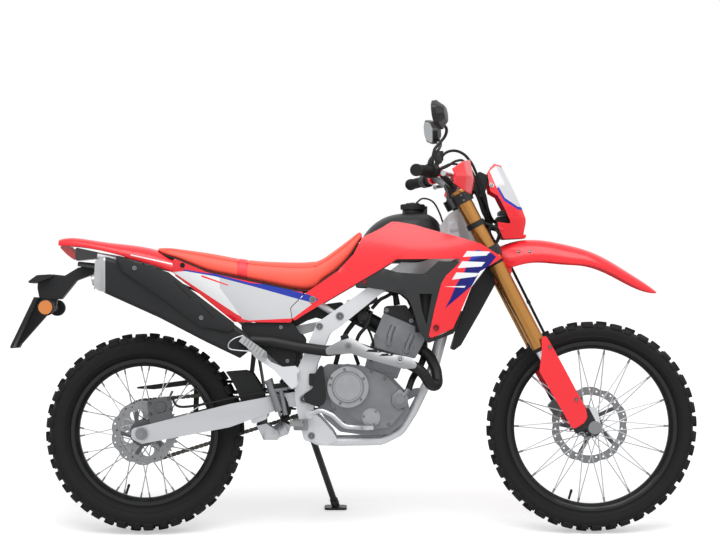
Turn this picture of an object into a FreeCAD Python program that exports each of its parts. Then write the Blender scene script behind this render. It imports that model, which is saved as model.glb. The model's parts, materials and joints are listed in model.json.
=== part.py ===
"""A single-cylinder dual sport motorcycle, parked on its side stand. Millimetres.

Pieces are drawn on the upright machine: X forward from the rear axle, Y to the
rider's left, Z up from the floor. place() then leans each piece over onto the
side stand and moves it to the row frame, whose origin is on the floor, under the
middle of the parked machine.
"""
import FreeCAD
import Part
import math
import os

from FreeCAD import Vector

# Stance
WHEELBASE = 1465.0
STEERING_FOOT_X = 1574.0     # where the steering axis meets the floor
RAKE_DEG = 27.5
TRAIL = 109.0
CLAMP_OFFSET = 25.0          # fork legs ahead of the steering axis
LEAN_DEG = 10.0              # to the left, onto the side stand
ORIGIN_X = 690.0             # the row's origin, ahead of the drawing's origin
ORIGIN_LEFT_OF_WHEELS = 215.0
RUNNING_GAP = 0.1            # radial, axle in its hub
SEAT_GAP = 0.3               # between pieces that rest on each other
JOINT_GAP = 6.0              # between pieces that move past each other

# Tyres, rims and wheels
FRONT_TYRE_RADIUS = 345.0
FRONT_TYRE_HALF_WIDTH = 44.0
FRONT_BEAD_RADIUS = 267.0
FRONT_RIM_HALF_WIDTH = 23.0
FRONT_RIM_INNER_RADIUS = 254.0
REAR_TYRE_RADIUS = 325.0
REAR_TYRE_HALF_WIDTH = 60.0
REAR_BEAD_RADIUS = 229.0
REAR_RIM_HALF_WIDTH = 32.0
REAR_RIM_INNER_RADIUS = 216.0
LUG_HEIGHT = 12.0
LUG_PITCHES = 22             # lugs in a row; the rows are staggered by half a pitch
LUG_SHARE = 0.31             # a lug's length, as a share of the pitch
LUG_ROOT = 3.0               # how far a lug reaches into the casing
TREAD_ROUND = 0.2            # the tread's drop at its shoulder, as a share of the half width
RIM_FLANGE_HEIGHT = 12.0
RIM_WALL = 3.0
SPOKE_RADIUS = 1.9
SPOKE_END_GAP = 0.8
SPOKE_PAIRS_FRONT = 9        # per hub flange
SPOKE_PAIRS_REAR = 8
FRONT_FLANGE_Y = 30.0
REAR_FLANGE_Y = 38.0
FRONT_FLANGE_RADIUS = 31.0
REAR_FLANGE_RADIUS = 40.0
FLANGE_THICKNESS = 5.0
HUB_RADIUS = 22.0
SPACER_RADIUS = 14.0
DISC_BOSS_RADIUS = 32.0
AXLE_RADIUS = 9.0
AXLE_BORE_RADIUS = 6.0       # the hollow in the front axle's right end
AXLE_BORE_DEPTH = 40.0

# Brakes and chain
FRONT_DISC_RADIUS = 127.0
FRONT_DISC_Y = 62.0
REAR_DISC_RADIUS = 105.0
REAR_DISC_Y = -72.0
DISC_THICKNESS = 4.0
DISC_BAND = 27.0             # width of the rubbed ring
DISC_PETALS = 10
DISC_PETAL_DEPTH = 5.0
CHAIN_Y = 84.0
CHAIN_WIDTH = 18.0
CHAIN_HEIGHT = 14.5
CHAIN_SLOT = 7.4             # width between the inner plates
CHAIN_PITCH = 15.875
CHAIN_PLATE_STEP = 2.2       # between an outer link plate's edge and an inner one's
REAR_SPROCKET_TEETH = 40
FRONT_SPROCKET_TEETH = 14
SPROCKET_THICKNESS = 5.6
COUNTERSHAFT = (598.0, 444.0)

# Fork
FORK_HALF_SPACING = 98.0
FORK_TUBE_RADIUS = 26.0
FORK_SLIDER_RADIUS = 21.5
FORK_TOP_Z = 1098.0
FORK_TUBE_BOTTOM_Z = 583.0
UPPER_CLAMP_Z = 1076.0
LOWER_CLAMP_Z = 900.0
CLAMP_THICKNESS = 34.0
HEAD_TUBE_RADIUS = 30.0
STEM_RADIUS = 14.0
STEM_GAP = 0.1
BAR_CLAMP = Vector(1003, 0, 1132)

# Frame and swingarm
CRADLE_TUBE = 28.0
SUBFRAME_TUBE_RADIUS = 11.0
PIVOT = (524.0, 437.0)
PIVOT_RADIUS = 14.0
ARM_THICKNESS = 24.0
ARM_OUTER_Y = 126.0
SPRING_RADIUS = 34.0
DAMPER_EYE_HALF = 24.0

# Controls
BAR_RADIUS = 11.0
GRIP_RADIUS = 16.5
GRIP_LENGTH = 122.0
MIRROR_STEM_RADIUS = 5.0
PANEL_THICKNESS = 3.0
LAMP_BACK_X = 1150.0
PEG_HANGER_Y = 166.0         # the inner face of the passenger pegs' plates
PASSENGER_PEG_Y = 187.0
LAMP_STALK = (-308.0, 733.0)  # the rear turn lamps' stalk
LAMP_STALK_REACH = 128.0

# Side stand
STAND_PIVOT = (545.0, 138.0, 300.0)
STAND_FOOT = (622.0, 292.0)  # x and y of the foot plate's middle
STAND_TUBE_RADIUS = 11.0
FOOT_LENGTH = 76.0
FOOT_WIDTH = 46.0
FOOT_THICKNESS = 8.0
STAND_PIN_RADIUS = 6.0
STAND_FOLDED = (-0.975, 0.20, 0.10)  # the folded leg's direction

# Exhaust
SILENCER_Y = 136.0           # to the right of the mid-plane

RAKE = math.radians(RAKE_DEG)
LEAN = math.radians(LEAN_DEG)
AXIS_UP = Vector(-math.sin(RAKE), 0, math.cos(RAKE))
AXIS_FORWARD = Vector(math.cos(RAKE), 0, math.sin(RAKE))
Y_AXIS = Vector(0, 1, 0)


def tread_profile(radius, half_width):
    """The tread's left half, as (y, radius) from its shoulder to its crown."""
    drop = TREAD_ROUND * half_width
    return [
        (0.93 * half_width, radius - drop),
        (0.62 * half_width, radius - 0.38 * drop),
        (0.28 * half_width, radius),
    ]


def sink(radius, half_width):
    """How far the leaned tyre reaches below its upright lowest point."""
    return max(y * math.sin(LEAN) + (r - radius) * math.cos(LEAN)
               for y, r in tread_profile(radius, half_width))


LIFT = sink(REAR_TYRE_RADIUS, REAR_TYRE_HALF_WIDTH)
FRONT_RAISE = (sink(FRONT_TYRE_RADIUS, FRONT_TYRE_HALF_WIDTH) - LIFT) / math.cos(LEAN)
FRONT_AXLE = Vector(STEERING_FOOT_X - TRAIL, 0, FRONT_TYRE_RADIUS + FRONT_RAISE)
REAR_AXLE = Vector(FRONT_AXLE.x - WHEELBASE, 0, REAR_TYRE_RADIUS)


def floor_height(y):
    """The floor's height at a place beside the upright machine."""
    return (y * math.sin(LEAN) - LIFT) / math.cos(LEAN)


def stand_directions():
    """The leg's direction at rest and folded, and the pin's direction that joins them."""
    pivot = Vector(*STAND_PIVOT)
    foot = Vector(STAND_FOOT[0], STAND_FOOT[1], floor_height(STAND_FOOT[1]))
    down = foot.sub(pivot).normalize()
    folded = Vector(*STAND_FOLDED).normalize()
    chord = down.sub(folded).normalize()
    axis = Vector(Y_AXIS).sub(Vector(chord).multiply(chord.dot(Y_AXIS))).normalize()
    return down, folded, axis


STAND_AXIS = stand_directions()[2]


def place(shape):
    """Leans a piece of the upright machine over and moves it to the row frame."""
    placed = shape.copy()
    placed.rotate(Vector(0, 0, 0), Vector(1, 0, 0), -LEAN_DEG)
    placed.translate(Vector(-ORIGIN_X, -ORIGIN_LEFT_OF_WHEELS, LIFT))
    return placed


def arc_corners(points, corner, closed):
    """Edges through the points, with each corner rounded as far as its two sides allow."""
    count = len(points)
    stops = []
    for index, point in enumerate(points):
        if not closed and index in (0, count - 1):
            stops.append((point, None, point))
            continue
        back = points[index - 1].sub(point)
        ahead = points[(index + 1) % count].sub(point)
        turn = math.pi - back.getAngle(ahead)
        reach = min(corner * math.tan(turn / 2), 0.45 * back.Length, 0.45 * ahead.Length)
        if turn < 0.02 or reach < 0.05:
            stops.append((point, None, point))
            continue
        start = point.add(back.normalize().multiply(reach))
        end = point.add(ahead.normalize().multiply(reach))
        inward = start.add(end).multiply(0.5).sub(point).normalize()
        radius = reach / math.tan(turn / 2)
        middle = point.add(inward.multiply(radius / math.cos(turn / 2) - radius))
        stops.append((start, middle, end))
    edges = []
    for index, (start, middle, end) in enumerate(stops):
        if middle is not None:
            edges.append(Part.Arc(start, middle, end).toShape())
        if index < count - 1 or closed:
            following = stops[(index + 1) % count][0]
            if end.distanceToPoint(following) > 0.001:
                edges.append(Part.makeLine(end, following))
    return edges


def closed_wire(points, corner=0.0):
    """A closed outline with rounded corners."""
    return Part.Wire(arc_corners(points, corner, True))


def plate(outline, y_from, y_to, corner=0.0):
    """A flat piece seen from the side: its (x, z) outline, extruded across the machine."""
    wire = closed_wire([Vector(x, y_from, z) for x, z in outline], corner)
    return Part.Face(wire).extrude(Vector(0, y_to - y_from, 0))


def plan(outline, z_from, z_to):
    """A block seen from above: its (x, y) outline, extruded upwards."""
    wire = closed_wire([Vector(x, y, z_from) for x, y in outline])
    return Part.Face(wire).extrude(Vector(0, 0, z_to - z_from))


def rod(start, end, radius):
    """A round bar between two points."""
    along = end.sub(start)
    return Part.makeCylinder(radius, along.Length, start, along)


def cross_rod(x, z, y_from, y_to, radius):
    """A round bar across the machine."""
    return Part.makeCylinder(radius, y_to - y_from, Vector(x, y_from, z), Y_AXIS)


def bent_tube(points, radius, bend):
    """A round bar along straight runs joined by tangent arcs."""
    route = [Vector(*point) for point in points]
    path = Part.Wire(arc_corners(route, bend, False))
    ring = Part.Wire(Part.makeCircle(radius, route[0], route[1].sub(route[0])))
    return path.makePipeShell([ring], True, False)


def turned(profile, axle):
    """A ring round an axle across the machine, from its (y, radius) profile."""
    points = [Vector(axle.x, y, axle.z + radius) for y, radius in profile]
    return Part.Face(Part.makePolygon(points + points[:1])).revolve(axle, Y_AXIS, 360)


def boss_to(cover, x, z, y_from, radius):
    """A round boss on the left, from y_from out to a cover's inner face."""
    reach = cross_rod(x, z, y_from, 260, radius)
    return min(reach.cut(cover).Solids, key=lambda piece: piece.BoundBox.YMin)


def both_sides(shape):
    """A piece of the left side with its mirror image."""
    return [shape, shape.mirror(Vector(0, 0, 0), Y_AXIS)]


def right_side(shape):
    """The mirror image of a piece of the left side."""
    return shape.mirror(Vector(0, 0, 0), Y_AXIS)


def fused(pieces):
    """One solid of pieces that overlap."""
    return pieces[0].multiFuse(pieces[1:]).removeSplitter()


def spline(points):
    """A smooth edge through the points."""
    curve = Part.BSplineCurve()
    curve.interpolate(points)
    return curve.toShape()


def skin(stations, wall):
    """A curved wall on the left side: at each x, its (z, y) from the low edge to the top."""
    rings = []
    for x, profile in stations:
        outer = [Vector(x, y, z) for z, y in profile]
        inner = [Vector(x, y - wall, z) for z, y in reversed(profile)]
        rings.append(Part.Wire([
            spline(outer),
            Part.makeLine(outer[-1], inner[0]),
            spline(inner),
            Part.makeLine(inner[-1], outer[0]),
        ]))
    return Part.makeLoft(rings, True)


def arch(x, half_width, edge_z, top_z, shoulder=0.72):
    """A crowned section across the machine, flat underneath."""
    drop = top_z - edge_z
    points = [
        Vector(x, -half_width, edge_z),
        Vector(x, -0.93 * half_width, edge_z + 0.55 * drop),
        Vector(x, -shoulder * half_width, edge_z + 0.86 * drop),
        Vector(x, 0, top_z),
        Vector(x, shoulder * half_width, edge_z + 0.86 * drop),
        Vector(x, 0.93 * half_width, edge_z + 0.55 * drop),
        Vector(x, half_width, edge_z),
    ]
    return Part.Wire([spline(points), Part.makeLine(points[-1], points[0])])


def crowned(stations):
    """A solid with a crowned top, from its (x, half width, edge z, top z) stations."""
    return Part.makeLoft([arch(*station) for station in stations], True)


def on_axis(forward, across, up):
    """A point by its place from the steering axis: ahead, to the left, along it from the floor."""
    foot = Vector(STEERING_FOOT_X, across, 0)
    return foot.add(Vector(AXIS_FORWARD).multiply(forward)).add(Vector(AXIS_UP).multiply(up))


def along_axis(z):
    """The distance up the steering axis at height z."""
    return z / math.cos(RAKE)


def box_between(x, y, z):
    """A plain block from its ranges."""
    low = Vector(x[0], y[0], z[0])
    return Part.makeBox(x[1] - x[0], y[1] - y[0], z[1] - z[0], low)


def wheel_point(axle, angle, radius, y):
    """A point of a wheel by its angle from straight down, its radius and its side."""
    return Vector(axle.x - radius * math.sin(angle), y, axle.z - radius * math.cos(angle))


def faceted(axle, profile, middle, step, count):
    """A solid of flat faces round an axle, from its (y, radius) profile: a whole ring of count
    steps, or a single step about its middle angle."""
    reach = 1 / math.cos(step / 2)
    rings = []
    for index in range(count if count > 1 else 2):
        angle = middle + (index - 0.5) * step
        rings.append([wheel_point(axle, angle, radius * reach, y) for y, radius in profile])
    if count == 1:
        ends = [Part.Face(Part.makePolygon(ring + ring[:1])) for ring in rings]
        pairs = [rings]
    else:
        ends = []
        pairs = list(zip(rings, rings[1:] + rings[:1]))
    faces = []
    for here, there in pairs:
        for index, corner in enumerate(here):
            after = (index + 1) % len(here)
            loop = [corner, here[after], there[after], there[index], corner]
            faces.append(Part.Face(Part.makePolygon(loop)))
    solid = Part.Solid(Part.makeShell(faces + ends))
    return solid if solid.Volume > 0 else solid.reversed()


def tyre(axle, radius, half_width, bead, rim_half_width):
    """A tyre seated between the rim's flanges, with a middle row and two shoulder rows of lugs."""
    seat = rim_half_width - RIM_WALL - SEAT_GAP
    flange = bead + RIM_FLANGE_HEIGHT + SEAT_GAP
    shoulder, bend, crown = tread_profile(radius, half_width)
    wall = radius - flange
    left = [
        (seat, bead + RIM_WALL + SEAT_GAP),
        (seat, flange),
        (0.86 * half_width, flange + 0.20 * wall),
        (0.96 * half_width, flange + 0.48 * wall),
        (0.92 * half_width, shoulder[1] - LUG_HEIGHT),
        (0.50 * half_width, bend[1] - 0.6 * LUG_HEIGHT),
    ]
    pitch = 2 * math.pi / LUG_PITCHES
    casing = faceted(axle, left + [(-y, r) for y, r in reversed(left)], 0, pitch / 2, 2 * LUG_PITCHES)
    root = radius - LUG_HEIGHT - LUG_ROOT
    middle_lug = [crown, (-crown[0], crown[1]), (-crown[0], root), (crown[0], root)]
    shoulder_lug = [
        (0.44 * half_width, radius - 0.15 * (radius - bend[1])), bend, shoulder,
        (half_width, shoulder[1] - 0.14 * wall), (0.82 * half_width, shoulder[1] - 0.20 * wall - LUG_ROOT),
        (0.44 * half_width, root - LUG_ROOT),
    ]
    lugs = []
    for index in range(LUG_PITCHES):
        lugs.append(faceted(axle, middle_lug, index * pitch, LUG_SHARE * pitch, 1))
        for side in (1, -1):
            profile = [(side * y, r) for y, r in shoulder_lug]
            lugs.append(faceted(axle, profile, (index + 0.5) * pitch, LUG_SHARE * pitch, 1))
    return casing.multiFuse(lugs)


def rim(axle, bead, inner, half_width):
    """A channel rim: the well between two bead seats and two flanges."""
    top = bead + RIM_FLANGE_HEIGHT
    well = 0.45 * half_width
    left = [
        (well, inner),
        (0.8 * half_width, bead - 3),
        (half_width, bead),
        (half_width, top),
        (half_width - RIM_WALL, top),
        (half_width - RIM_WALL, bead + RIM_WALL),
        (0.8 * half_width - RIM_WALL, bead),
        (well - RIM_WALL, inner + RIM_WALL),
    ]
    right = [(-y, r) for y, r in left]
    return turned(left + list(reversed(right)), axle)


def sprocket_carrier():
    """The rear chain wheel with the sleeve that joins it to the hub."""
    sleeve_from, sleeve_to = REAR_FLANGE_Y + 2, CHAIN_Y + SPROCKET_THICKNESS / 2
    sleeve = cross_rod(REAR_AXLE.x, REAR_AXLE.z, sleeve_from, sleeve_to, 34)
    sleeve = sleeve.cut(cross_rod(REAR_AXLE.x, REAR_AXLE.z, sleeve_from - 1, sleeve_to + 1, 18))
    wheel = sprocket(REAR_AXLE.x, REAR_AXLE.z, REAR_SPROCKET_TEETH, CHAIN_Y, 18)
    windows = []
    for index in range(5):
        middle = wheel_point(REAR_AXLE, 2 * math.pi * index / 5, 64, CHAIN_Y - 9)
        windows.append(Part.makeCylinder(21, 18, middle, Y_AXIS))
    return sleeve.fuse(wheel.cut(windows))


def disc_boss(axle, flange_y, disc_y):
    """The hub's open collar that the brake disc is bolted to."""
    side = 1 if disc_y > 0 else -1
    ends = sorted((side * flange_y, disc_y - side * (DISC_THICKNESS / 2 + SEAT_GAP)))
    collar = cross_rod(axle.x, axle.z, ends[0], ends[1], DISC_BOSS_RADIUS)
    return collar.cut(cross_rod(axle.x, axle.z, ends[0] - 1, ends[1] + 1, SPACER_RADIUS + 4))


def hub_with_spokes(axle, flange_y, flange_radius, rim_inner, pairs, disc_y):
    """A hub with two flanges and a brake disc's collar, laced with crossing spokes to the rim."""
    pieces = [cross_rod(axle.x, axle.z, -flange_y - 6, flange_y + 6, HUB_RADIUS)]
    half = FLANGE_THICKNESS / 2
    for side in (-1, 1):
        middle = side * flange_y
        pieces.append(cross_rod(axle.x, axle.z, middle - half, middle + half, flange_radius))
    end_radius = rim_inner - SPOKE_END_GAP
    lace = flange_radius - 4.5
    for side in (-1, 1):
        for pair in range(pairs):
            base = 2 * math.pi * (pair + (0.25 if side > 0 else -0.25)) / pairs
            for hand in (-1, 1):
                inner_angle = base + hand * math.radians(8)
                outer_angle = base + hand * math.radians(8) + hand * math.radians(52)
                layer = side * (flange_y + hand * (half - 0.2))
                start = wheel_point(axle, inner_angle, lace, layer)
                end = wheel_point(axle, outer_angle, end_radius, side * 7.0)
                pieces.append(rod(start, end, SPOKE_RADIUS))
    hub = fused(pieces + [disc_boss(axle, flange_y, disc_y)])
    return hub.cut(cross_rod(axle.x, axle.z, -flange_y - 20, flange_y + 20, AXLE_RADIUS + RUNNING_GAP))


def brake_disc(axle, radius, y, inner, bore):
    """A brake disc: a rubbed ring with holes, carried on five arms."""
    half = DISC_THICKNESS / 2
    rim_points = []
    for index in range(8 * DISC_PETALS):
        wave = 0.5 - 0.5 * math.cos(2 * math.pi * index / 8)
        angle = 2 * math.pi * index / (8 * DISC_PETALS)
        rim_points.append(wheel_point(axle, angle, radius - DISC_PETAL_DEPTH * wave ** 3, y - half))
    edge = Part.BSplineCurve()
    edge.interpolate(rim_points, PeriodicFlag=True)
    ring = Part.Face(Part.Wire(edge.toShape())).extrude(Vector(0, DISC_THICKNESS, 0))
    ring = ring.cut(cross_rod(axle.x, axle.z, y - 9, y + 9, radius - DISC_BAND))
    carrier = cross_rod(axle.x, axle.z, y - half, y + half, inner + 14)
    pieces = [ring, carrier]
    for arm in range(5):
        angle = 2 * math.pi * arm / 5
        start = wheel_point(axle, angle, inner + 6, y)
        end = wheel_point(axle, angle + 0.35, radius - DISC_BAND + 6, y)
        pieces.append(bar(start, end, 13, DISC_THICKNESS))
    disc = fused(pieces).cut(cross_rod(axle.x, axle.z, y - 9, y + 9, bore))
    holes = []
    count = 30
    for hole in range(count):
        angle = 2 * math.pi * hole / count
        middle = wheel_point(axle, angle, radius - DISC_BAND * (0.30 + 0.2 * (hole % 3)), y - 9)
        holes.append(Part.makeCylinder(3.2, 18, middle, Y_AXIS))
    return disc.cut(holes)


def bar(start, end, width, thickness):
    """A flat bar in a plane along the machine, between two points."""
    along = end.sub(start).normalize()
    side = along.cross(Y_AXIS).normalize().multiply(width / 2)
    lift = Vector(0, thickness / 2, 0)
    corners = [start.add(side), end.add(side), end.sub(side), start.sub(side)]
    face = Part.Face(Part.makePolygon([c.sub(lift) for c in corners + corners[:1]]))
    return face.extrude(Vector(0, thickness, 0))


def sprocket(x, z, teeth, y, bore):
    """A chain wheel with a tooth for each link it carries."""
    points = []
    for tooth in range(teeth):
        for share, offset in ((0.0, -5.0), (0.28, -3.0), (0.42, 3.6), (0.58, 3.6), (0.72, -3.0)):
            angle = 2 * math.pi * (tooth + share) / teeth
            reach = pitch_radius(teeth) + offset
            points.append(Vector(x + reach * math.sin(angle), y - SPROCKET_THICKNESS / 2,
                                 z + reach * math.cos(angle)))
    wheel = Part.Face(Part.makePolygon(points + points[:1])).extrude(Vector(0, SPROCKET_THICKNESS, 0))
    return wheel.cut(cross_rod(x, z, y - 9, y + 9, bore))


def seat_bumpers(seat_pad):
    """The rubber-topped stubs on the seat tubes that the seat rests on."""
    stubs = []
    for x, y, z in ((200, 80, 836), (350, 84, 800), (500, 83, 766)):
        stubs += both_sides(rod(Vector(x, y, z), Vector(x, y, z + 40), 8).cut(seat_pad))
    return stubs


def main_frame(panels, seat_pad):
    """Two box spars from the headstock to the swingarm pivot, a down tube and a cradle."""
    spar_outline = [
        (1000, 1046), (1028, 1036), (1073, 948), (1046, 905), (780, 784), (642, 672), (607, 648),
        (566, 548), (556, 483), (556, 440), (552, 300), (524, 300), (500, 405), (494, 440),
        (498, 524), (514, 560), (566, 684), (722, 792), (925, 945),
    ]
    spar_plan = [
        (1090, 26), (1030, 42), (990, 46), (940, 64), (780, 104), (640, 116), (470, 118),
        (470, 104), (575, 104), (640, 88), (780, 76), (940, 36), (990, 10), (1090, 0),
    ]
    outline = plate(spar_outline, 0, 130, 30)
    spar = outline.common(plan(spar_plan, 280, 1060))
    head_low = on_axis(0, 0, along_axis(LOWER_CLAMP_Z) + CLAMP_THICKNESS / 2 + JOINT_GAP)
    head_high = on_axis(0, 0, along_axis(UPPER_CLAMP_Z) - CLAMP_THICKNESS / 2 - JOINT_GAP)
    half_tube = CRADLE_TUBE / 2
    pieces = both_sides(spar) + [
        rod(head_low, head_high, HEAD_TUBE_RADIUS),
        rod(Vector(1046, 0, 920), Vector(948, 0, 545), 19),
        rod(Vector(1046, 0, 960), Vector(1000, 0, 1000), 30),
        cross_rod(PIVOT[0], PIVOT[1], -118, 118, PIVOT_RADIUS),
        cross_rod(548, 318, -110, 110, 12),
        cross_rod(640, 705, -100, 100, 14),
        cross_rod(574, 676, -98, 98, 13),
    ]
    damper_lug = plate([(488, 650), (488, 672), (574, 688), (580, 664), (520, 646)],
                       DAMPER_EYE_HALF + SEAT_GAP, DAMPER_EYE_HALF + 10, 10)
    pieces += both_sides(damper_lug)
    engine_bracket = plate([(511, 407), (528, 311), (595, 286), (633, 303), (616, 332), (578, 374),
                            (553, 395)], 99, 112, 8)
    pieces += both_sides(engine_bracket)
    for x, z in ((330, 804), (290, 714), (450, 776)):
        pieces += both_sides(boss_to(panels, x, z, 80, 8))
    for side in (-1, 1):
        cradle = [
            (538, side * 104, 330), (560, side * 96, 300), (640, side * 84, 297),
            (775, side * 74, 299), (838, side * 58, 330), (880, side * 44, 395),
            (922, side * 24, 480), (950, side * 6, 560),
        ]
        pieces.append(bent_tube(cradle, half_tube, 60))
    frame = fused(pieces + subframe_tubes() + stand_lugs() + seat_bumpers(seat_pad))
    stem_low = on_axis(0, 0, along_axis(LOWER_CLAMP_Z) - 40)
    stem_high = on_axis(0, 0, along_axis(UPPER_CLAMP_Z) + 40)
    clamp_sweep = rod(head_high, stem_high, 90)
    return frame.cut(clamp_sweep).cut(rod(stem_low, stem_high, STEM_RADIUS + STEM_GAP))


def swingarm():
    """Two tapered arms, a cross member ahead of the tyre, and the wheel's axle."""
    x, z = REAR_AXLE.x, REAR_AXLE.z
    arm_outline = [
        (x - 34, z - 16), (x, z - 33), (284, 346), (470, 412), (524, 409), (549, 425), (549, 449),
        (524, 465), (284, 421), (x + 14, z + 28), (x - 34, z + 16),
    ]
    inner = ARM_OUTER_Y - ARM_THICKNESS
    arm_plan = [
        (x - 40, ARM_OUTER_Y), (260, ARM_OUTER_Y - 2), (440, 100), (560, 98),
        (560, 76), (440, 76), (250, inner), (x - 40, inner),
    ]
    arm = plate(arm_outline, 60, 130, 14).common(plan(arm_plan, z - 60, z + 180))
    member = plate([(352, 352), (404, 372), (404, 432), (352, 424)], -104, 104, 10)
    axle_rod = cross_rod(x, z, -ARM_OUTER_Y - 8, ARM_OUTER_Y + 8, AXLE_RADIUS)
    pieces = both_sides(arm) + [member, axle_rod] + chain_guard()
    for side in (-1, 1):
        y_low = side * ARM_OUTER_Y if side > 0 else side * ARM_OUTER_Y - 12
        pieces.append(cross_rod(x, z, y_low, y_low + 12, 17))
    spacer_from = REAR_FLANGE_Y + 6 + SEAT_GAP
    for side in (-1, 1):
        ends = sorted((side * spacer_from, side * (inner + 1)))
        pieces.append(cross_rod(x, z, ends[0], ends[1], SPACER_RADIUS))
    arms = fused(pieces)
    return arms.cut(cross_rod(PIVOT[0], PIVOT[1], -130, 130, PIVOT_RADIUS + SEAT_GAP))


def subframe_tubes():
    """The tubes that carry the seat, the tail and the silencer."""
    pieces = []
    radius = SUBFRAME_TUBE_RADIUS
    for side in (-1, 1):
        upper = [
            (624, side * 78, 712), (560, side * 82, 752), (350, side * 84, 800),
            (120, side * 76, 856), (-150, side * 52, 902),
        ]
        lower = [(506, side * 90, 560), (440, side * 88, 600), (110, side * 77, 846)]
        pieces.append(bent_tube(upper, radius, 120))
        pieces.append(bent_tube(lower, radius, 120))
    pieces.append(cross_rod(120, 856, -76, 76, radius))
    pieces.append(cross_rod(-140, 900, -53, 53, radius))
    return pieces


def rear_suspension(arms):
    """A coil-over damper between the frame and the linkage under the swingarm."""
    top = Vector(505, 0, 660)
    low = Vector(452, 0, 345)
    along = top.sub(low).normalize()
    seat_low = low.add(Vector(along).multiply(60))
    seat_high = low.add(Vector(along).multiply(235))
    pieces = [
        rod(low, top, 10),
        rod(seat_low, seat_high, SPRING_RADIUS),
        rod(seat_high, low.add(Vector(along).multiply(285)), 26),
        cross_rod(top.x, top.z, -DAMPER_EYE_HALF, DAMPER_EYE_HALF, 15),
        plate([(395, 318), (420, 300), (470, 318), (480, 352), (455, 368), (420, 342)], -30, 30, 10),
        cross_rod(412, 318, -44, 44, 9),
    ]
    link_outline = [(376, 380), (366, 350), (390, 300), (440, 300), (440, 328), (400, 352), (398, 384)]
    link = plate(link_outline, 31, 44, 8)
    return fused(pieces + both_sides(link)).cut(arms)


def crankcase(frame):
    """The engine's lower half with its clutch cover, flywheel cover and filter cover."""
    outline = [
        (572, 528), (599, 548), (700, 545), (800, 516), (852, 462), (867, 401), (840, 352),
        (800, 322), (728, 318), (640, 330), (592, 372), (574, 400),
    ]
    case = plate(outline, -96, 66, 18)
    right_cover = plate([
        (604, 470), (610, 520), (660, 552), (720, 540), (790, 512), (840, 462), (852, 405),
        (800, 345), (735, 338), (660, 352), (616, 400),
    ], -122, -90, 22)
    pieces = [
        case,
        right_cover,
        cross_rod(666, 476, -146, -100, 66),
        cross_rod(666, 476, -152, -100, 47),
        cross_rod(741, 378, -134, -100, 28),
        cross_rod(741, 378, -138, -100, 21),
        cross_rod(742, 430, 60, 118, 70),
        cross_rod(742, 430, 60, 123, 52),
        plate([(690, 500), (820, 480), (846, 430), (820, 360), (700, 350), (668, 400)], 60, 96, 24),
        cross_rod(COUNTERSHAFT[0], COUNTERSHAFT[1], 60, CHAIN_Y + 8, 13),
        sprocket(COUNTERSHAFT[0], COUNTERSHAFT[1], FRONT_SPROCKET_TEETH, CHAIN_Y, 8),
        plate([(800, 516), (852, 462), (900, 470), (908, 452), (860, 430)], -30, 30, 6),
    ]
    return fused(pieces).cut(frame)


def cylinder_head(case):
    """The leaning cylinder with its head and the cam cover on top."""
    barrel = plate([(716, 520), (742, 620), (860, 590), (826, 500)], -54, 54, 6)
    head = plate([(752, 640), (782, 715), (900, 664), (916, 626), (884, 566), (742, 606)], -66, 66, 8)
    cover = plate([(782, 708), (784, 738), (856, 742), (884, 690), (890, 660)], -52, 52, 12)
    plug_well = rod(Vector(858, 0, 690), Vector(885, 0, 738), 14)
    pieces = [barrel, head, cover, plug_well]
    for x, z in ((800, 640), (862, 612)):
        pieces.append(rod(Vector(x, -66, z), Vector(x + 14, -66, z + 34), 9))
    return fused(pieces).cut(case)


def intake():
    """The throttle body behind the head, with its boot to the air box."""
    return [
        rod(Vector(776, 0, 668), Vector(716, 0, 700), 27),
        rod(Vector(730, 0, 693), Vector(690, 0, 712), 32),
        rod(Vector(700, 0, 706), Vector(655, 0, 735), 29),
        cross_rod(716, 702, -66, 0, 20),
        cross_rod(716, 702, -72, -40, 14),
    ]


def exhaust_pipe(head, muffler):
    """The header pipe: down from the head, round the down tube's side and back."""
    route = [
        (890, -30, 604), (930, -42, 580), (954, -64, 530), (958, -88, 482), (936, -118, 478),
        (905, -137, 528), (860, -138, 552), (760, -138, 582), (690, -138, 606), (600, -138, 592),
        (500, -138, 606), (420, -137, 622), (352.3, -136, 626),
    ]
    return bent_tube(route, 17.5, 90).cut([head, muffler])


def heat_shield(pipe):
    """A pressed guard on two pegs over the pipe, beside the rider's leg, with two slanted slots."""
    outline = [
        (595, 602), (640, 626), (677, 636), (740, 624), (800, 607), (866, 576), (888, 552),
        (884, 537), (846, 535), (712, 572), (677, 585), (595, 580),
    ]
    stations = []
    for x in (590, 660, 740, 820, 892):
        middle = 590 + 0.30 * min(0, 660 - x) * 0.9 + (18 if 640 < x < 700 else 0)
        stations.append((x, [(middle - 34, 160), (middle - 14, 167), (middle + 14, 167), (middle + 34, 160)]))
    shield = plate(outline, 120, 185, 10).common(skin(stations, 2.5))
    slots = []
    for x in (760, 796):
        slots.append(plate([(x, 588 - (x - 760) * 0.3), (x + 12, 588 - (x - 760) * 0.3),
                            (x + 30, 602 - (x - 760) * 0.3), (x + 18, 602 - (x - 760) * 0.3)], 120, 190))
    pegs = [cross_rod(x, z, 150, 165, 6) for x, z in ((630, 600), (830, 564))]
    return right_side(fused([shield.cut(slots)] + pegs)).cut(pipe)


def silencer(frame):
    """The muffler on the right: a long box section, its bare end cap and its guard."""
    rings = []
    for x, low, high, half in (
        (352, 596, 640, 20), (318, 570, 664, 34), (210, 622, 745, 40), (60, 700, 846, 42),
        (-118, 780, 898, 38),
    ):
        outline = [
            Vector(x, -SILENCER_Y - half, low), Vector(x, -SILENCER_Y + half, low),
            Vector(x, -SILENCER_Y + half, high), Vector(x, -SILENCER_Y - half, high),
        ]
        rings.append(closed_wire(outline, 16))
    body = Part.makeLoft(rings, True, True)
    hanger = rod(Vector(0, -104, 846), Vector(0, -64, 876), 8)
    return fused([body, silencer_guard(), silencer_end(), hanger]).cut(frame)


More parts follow.
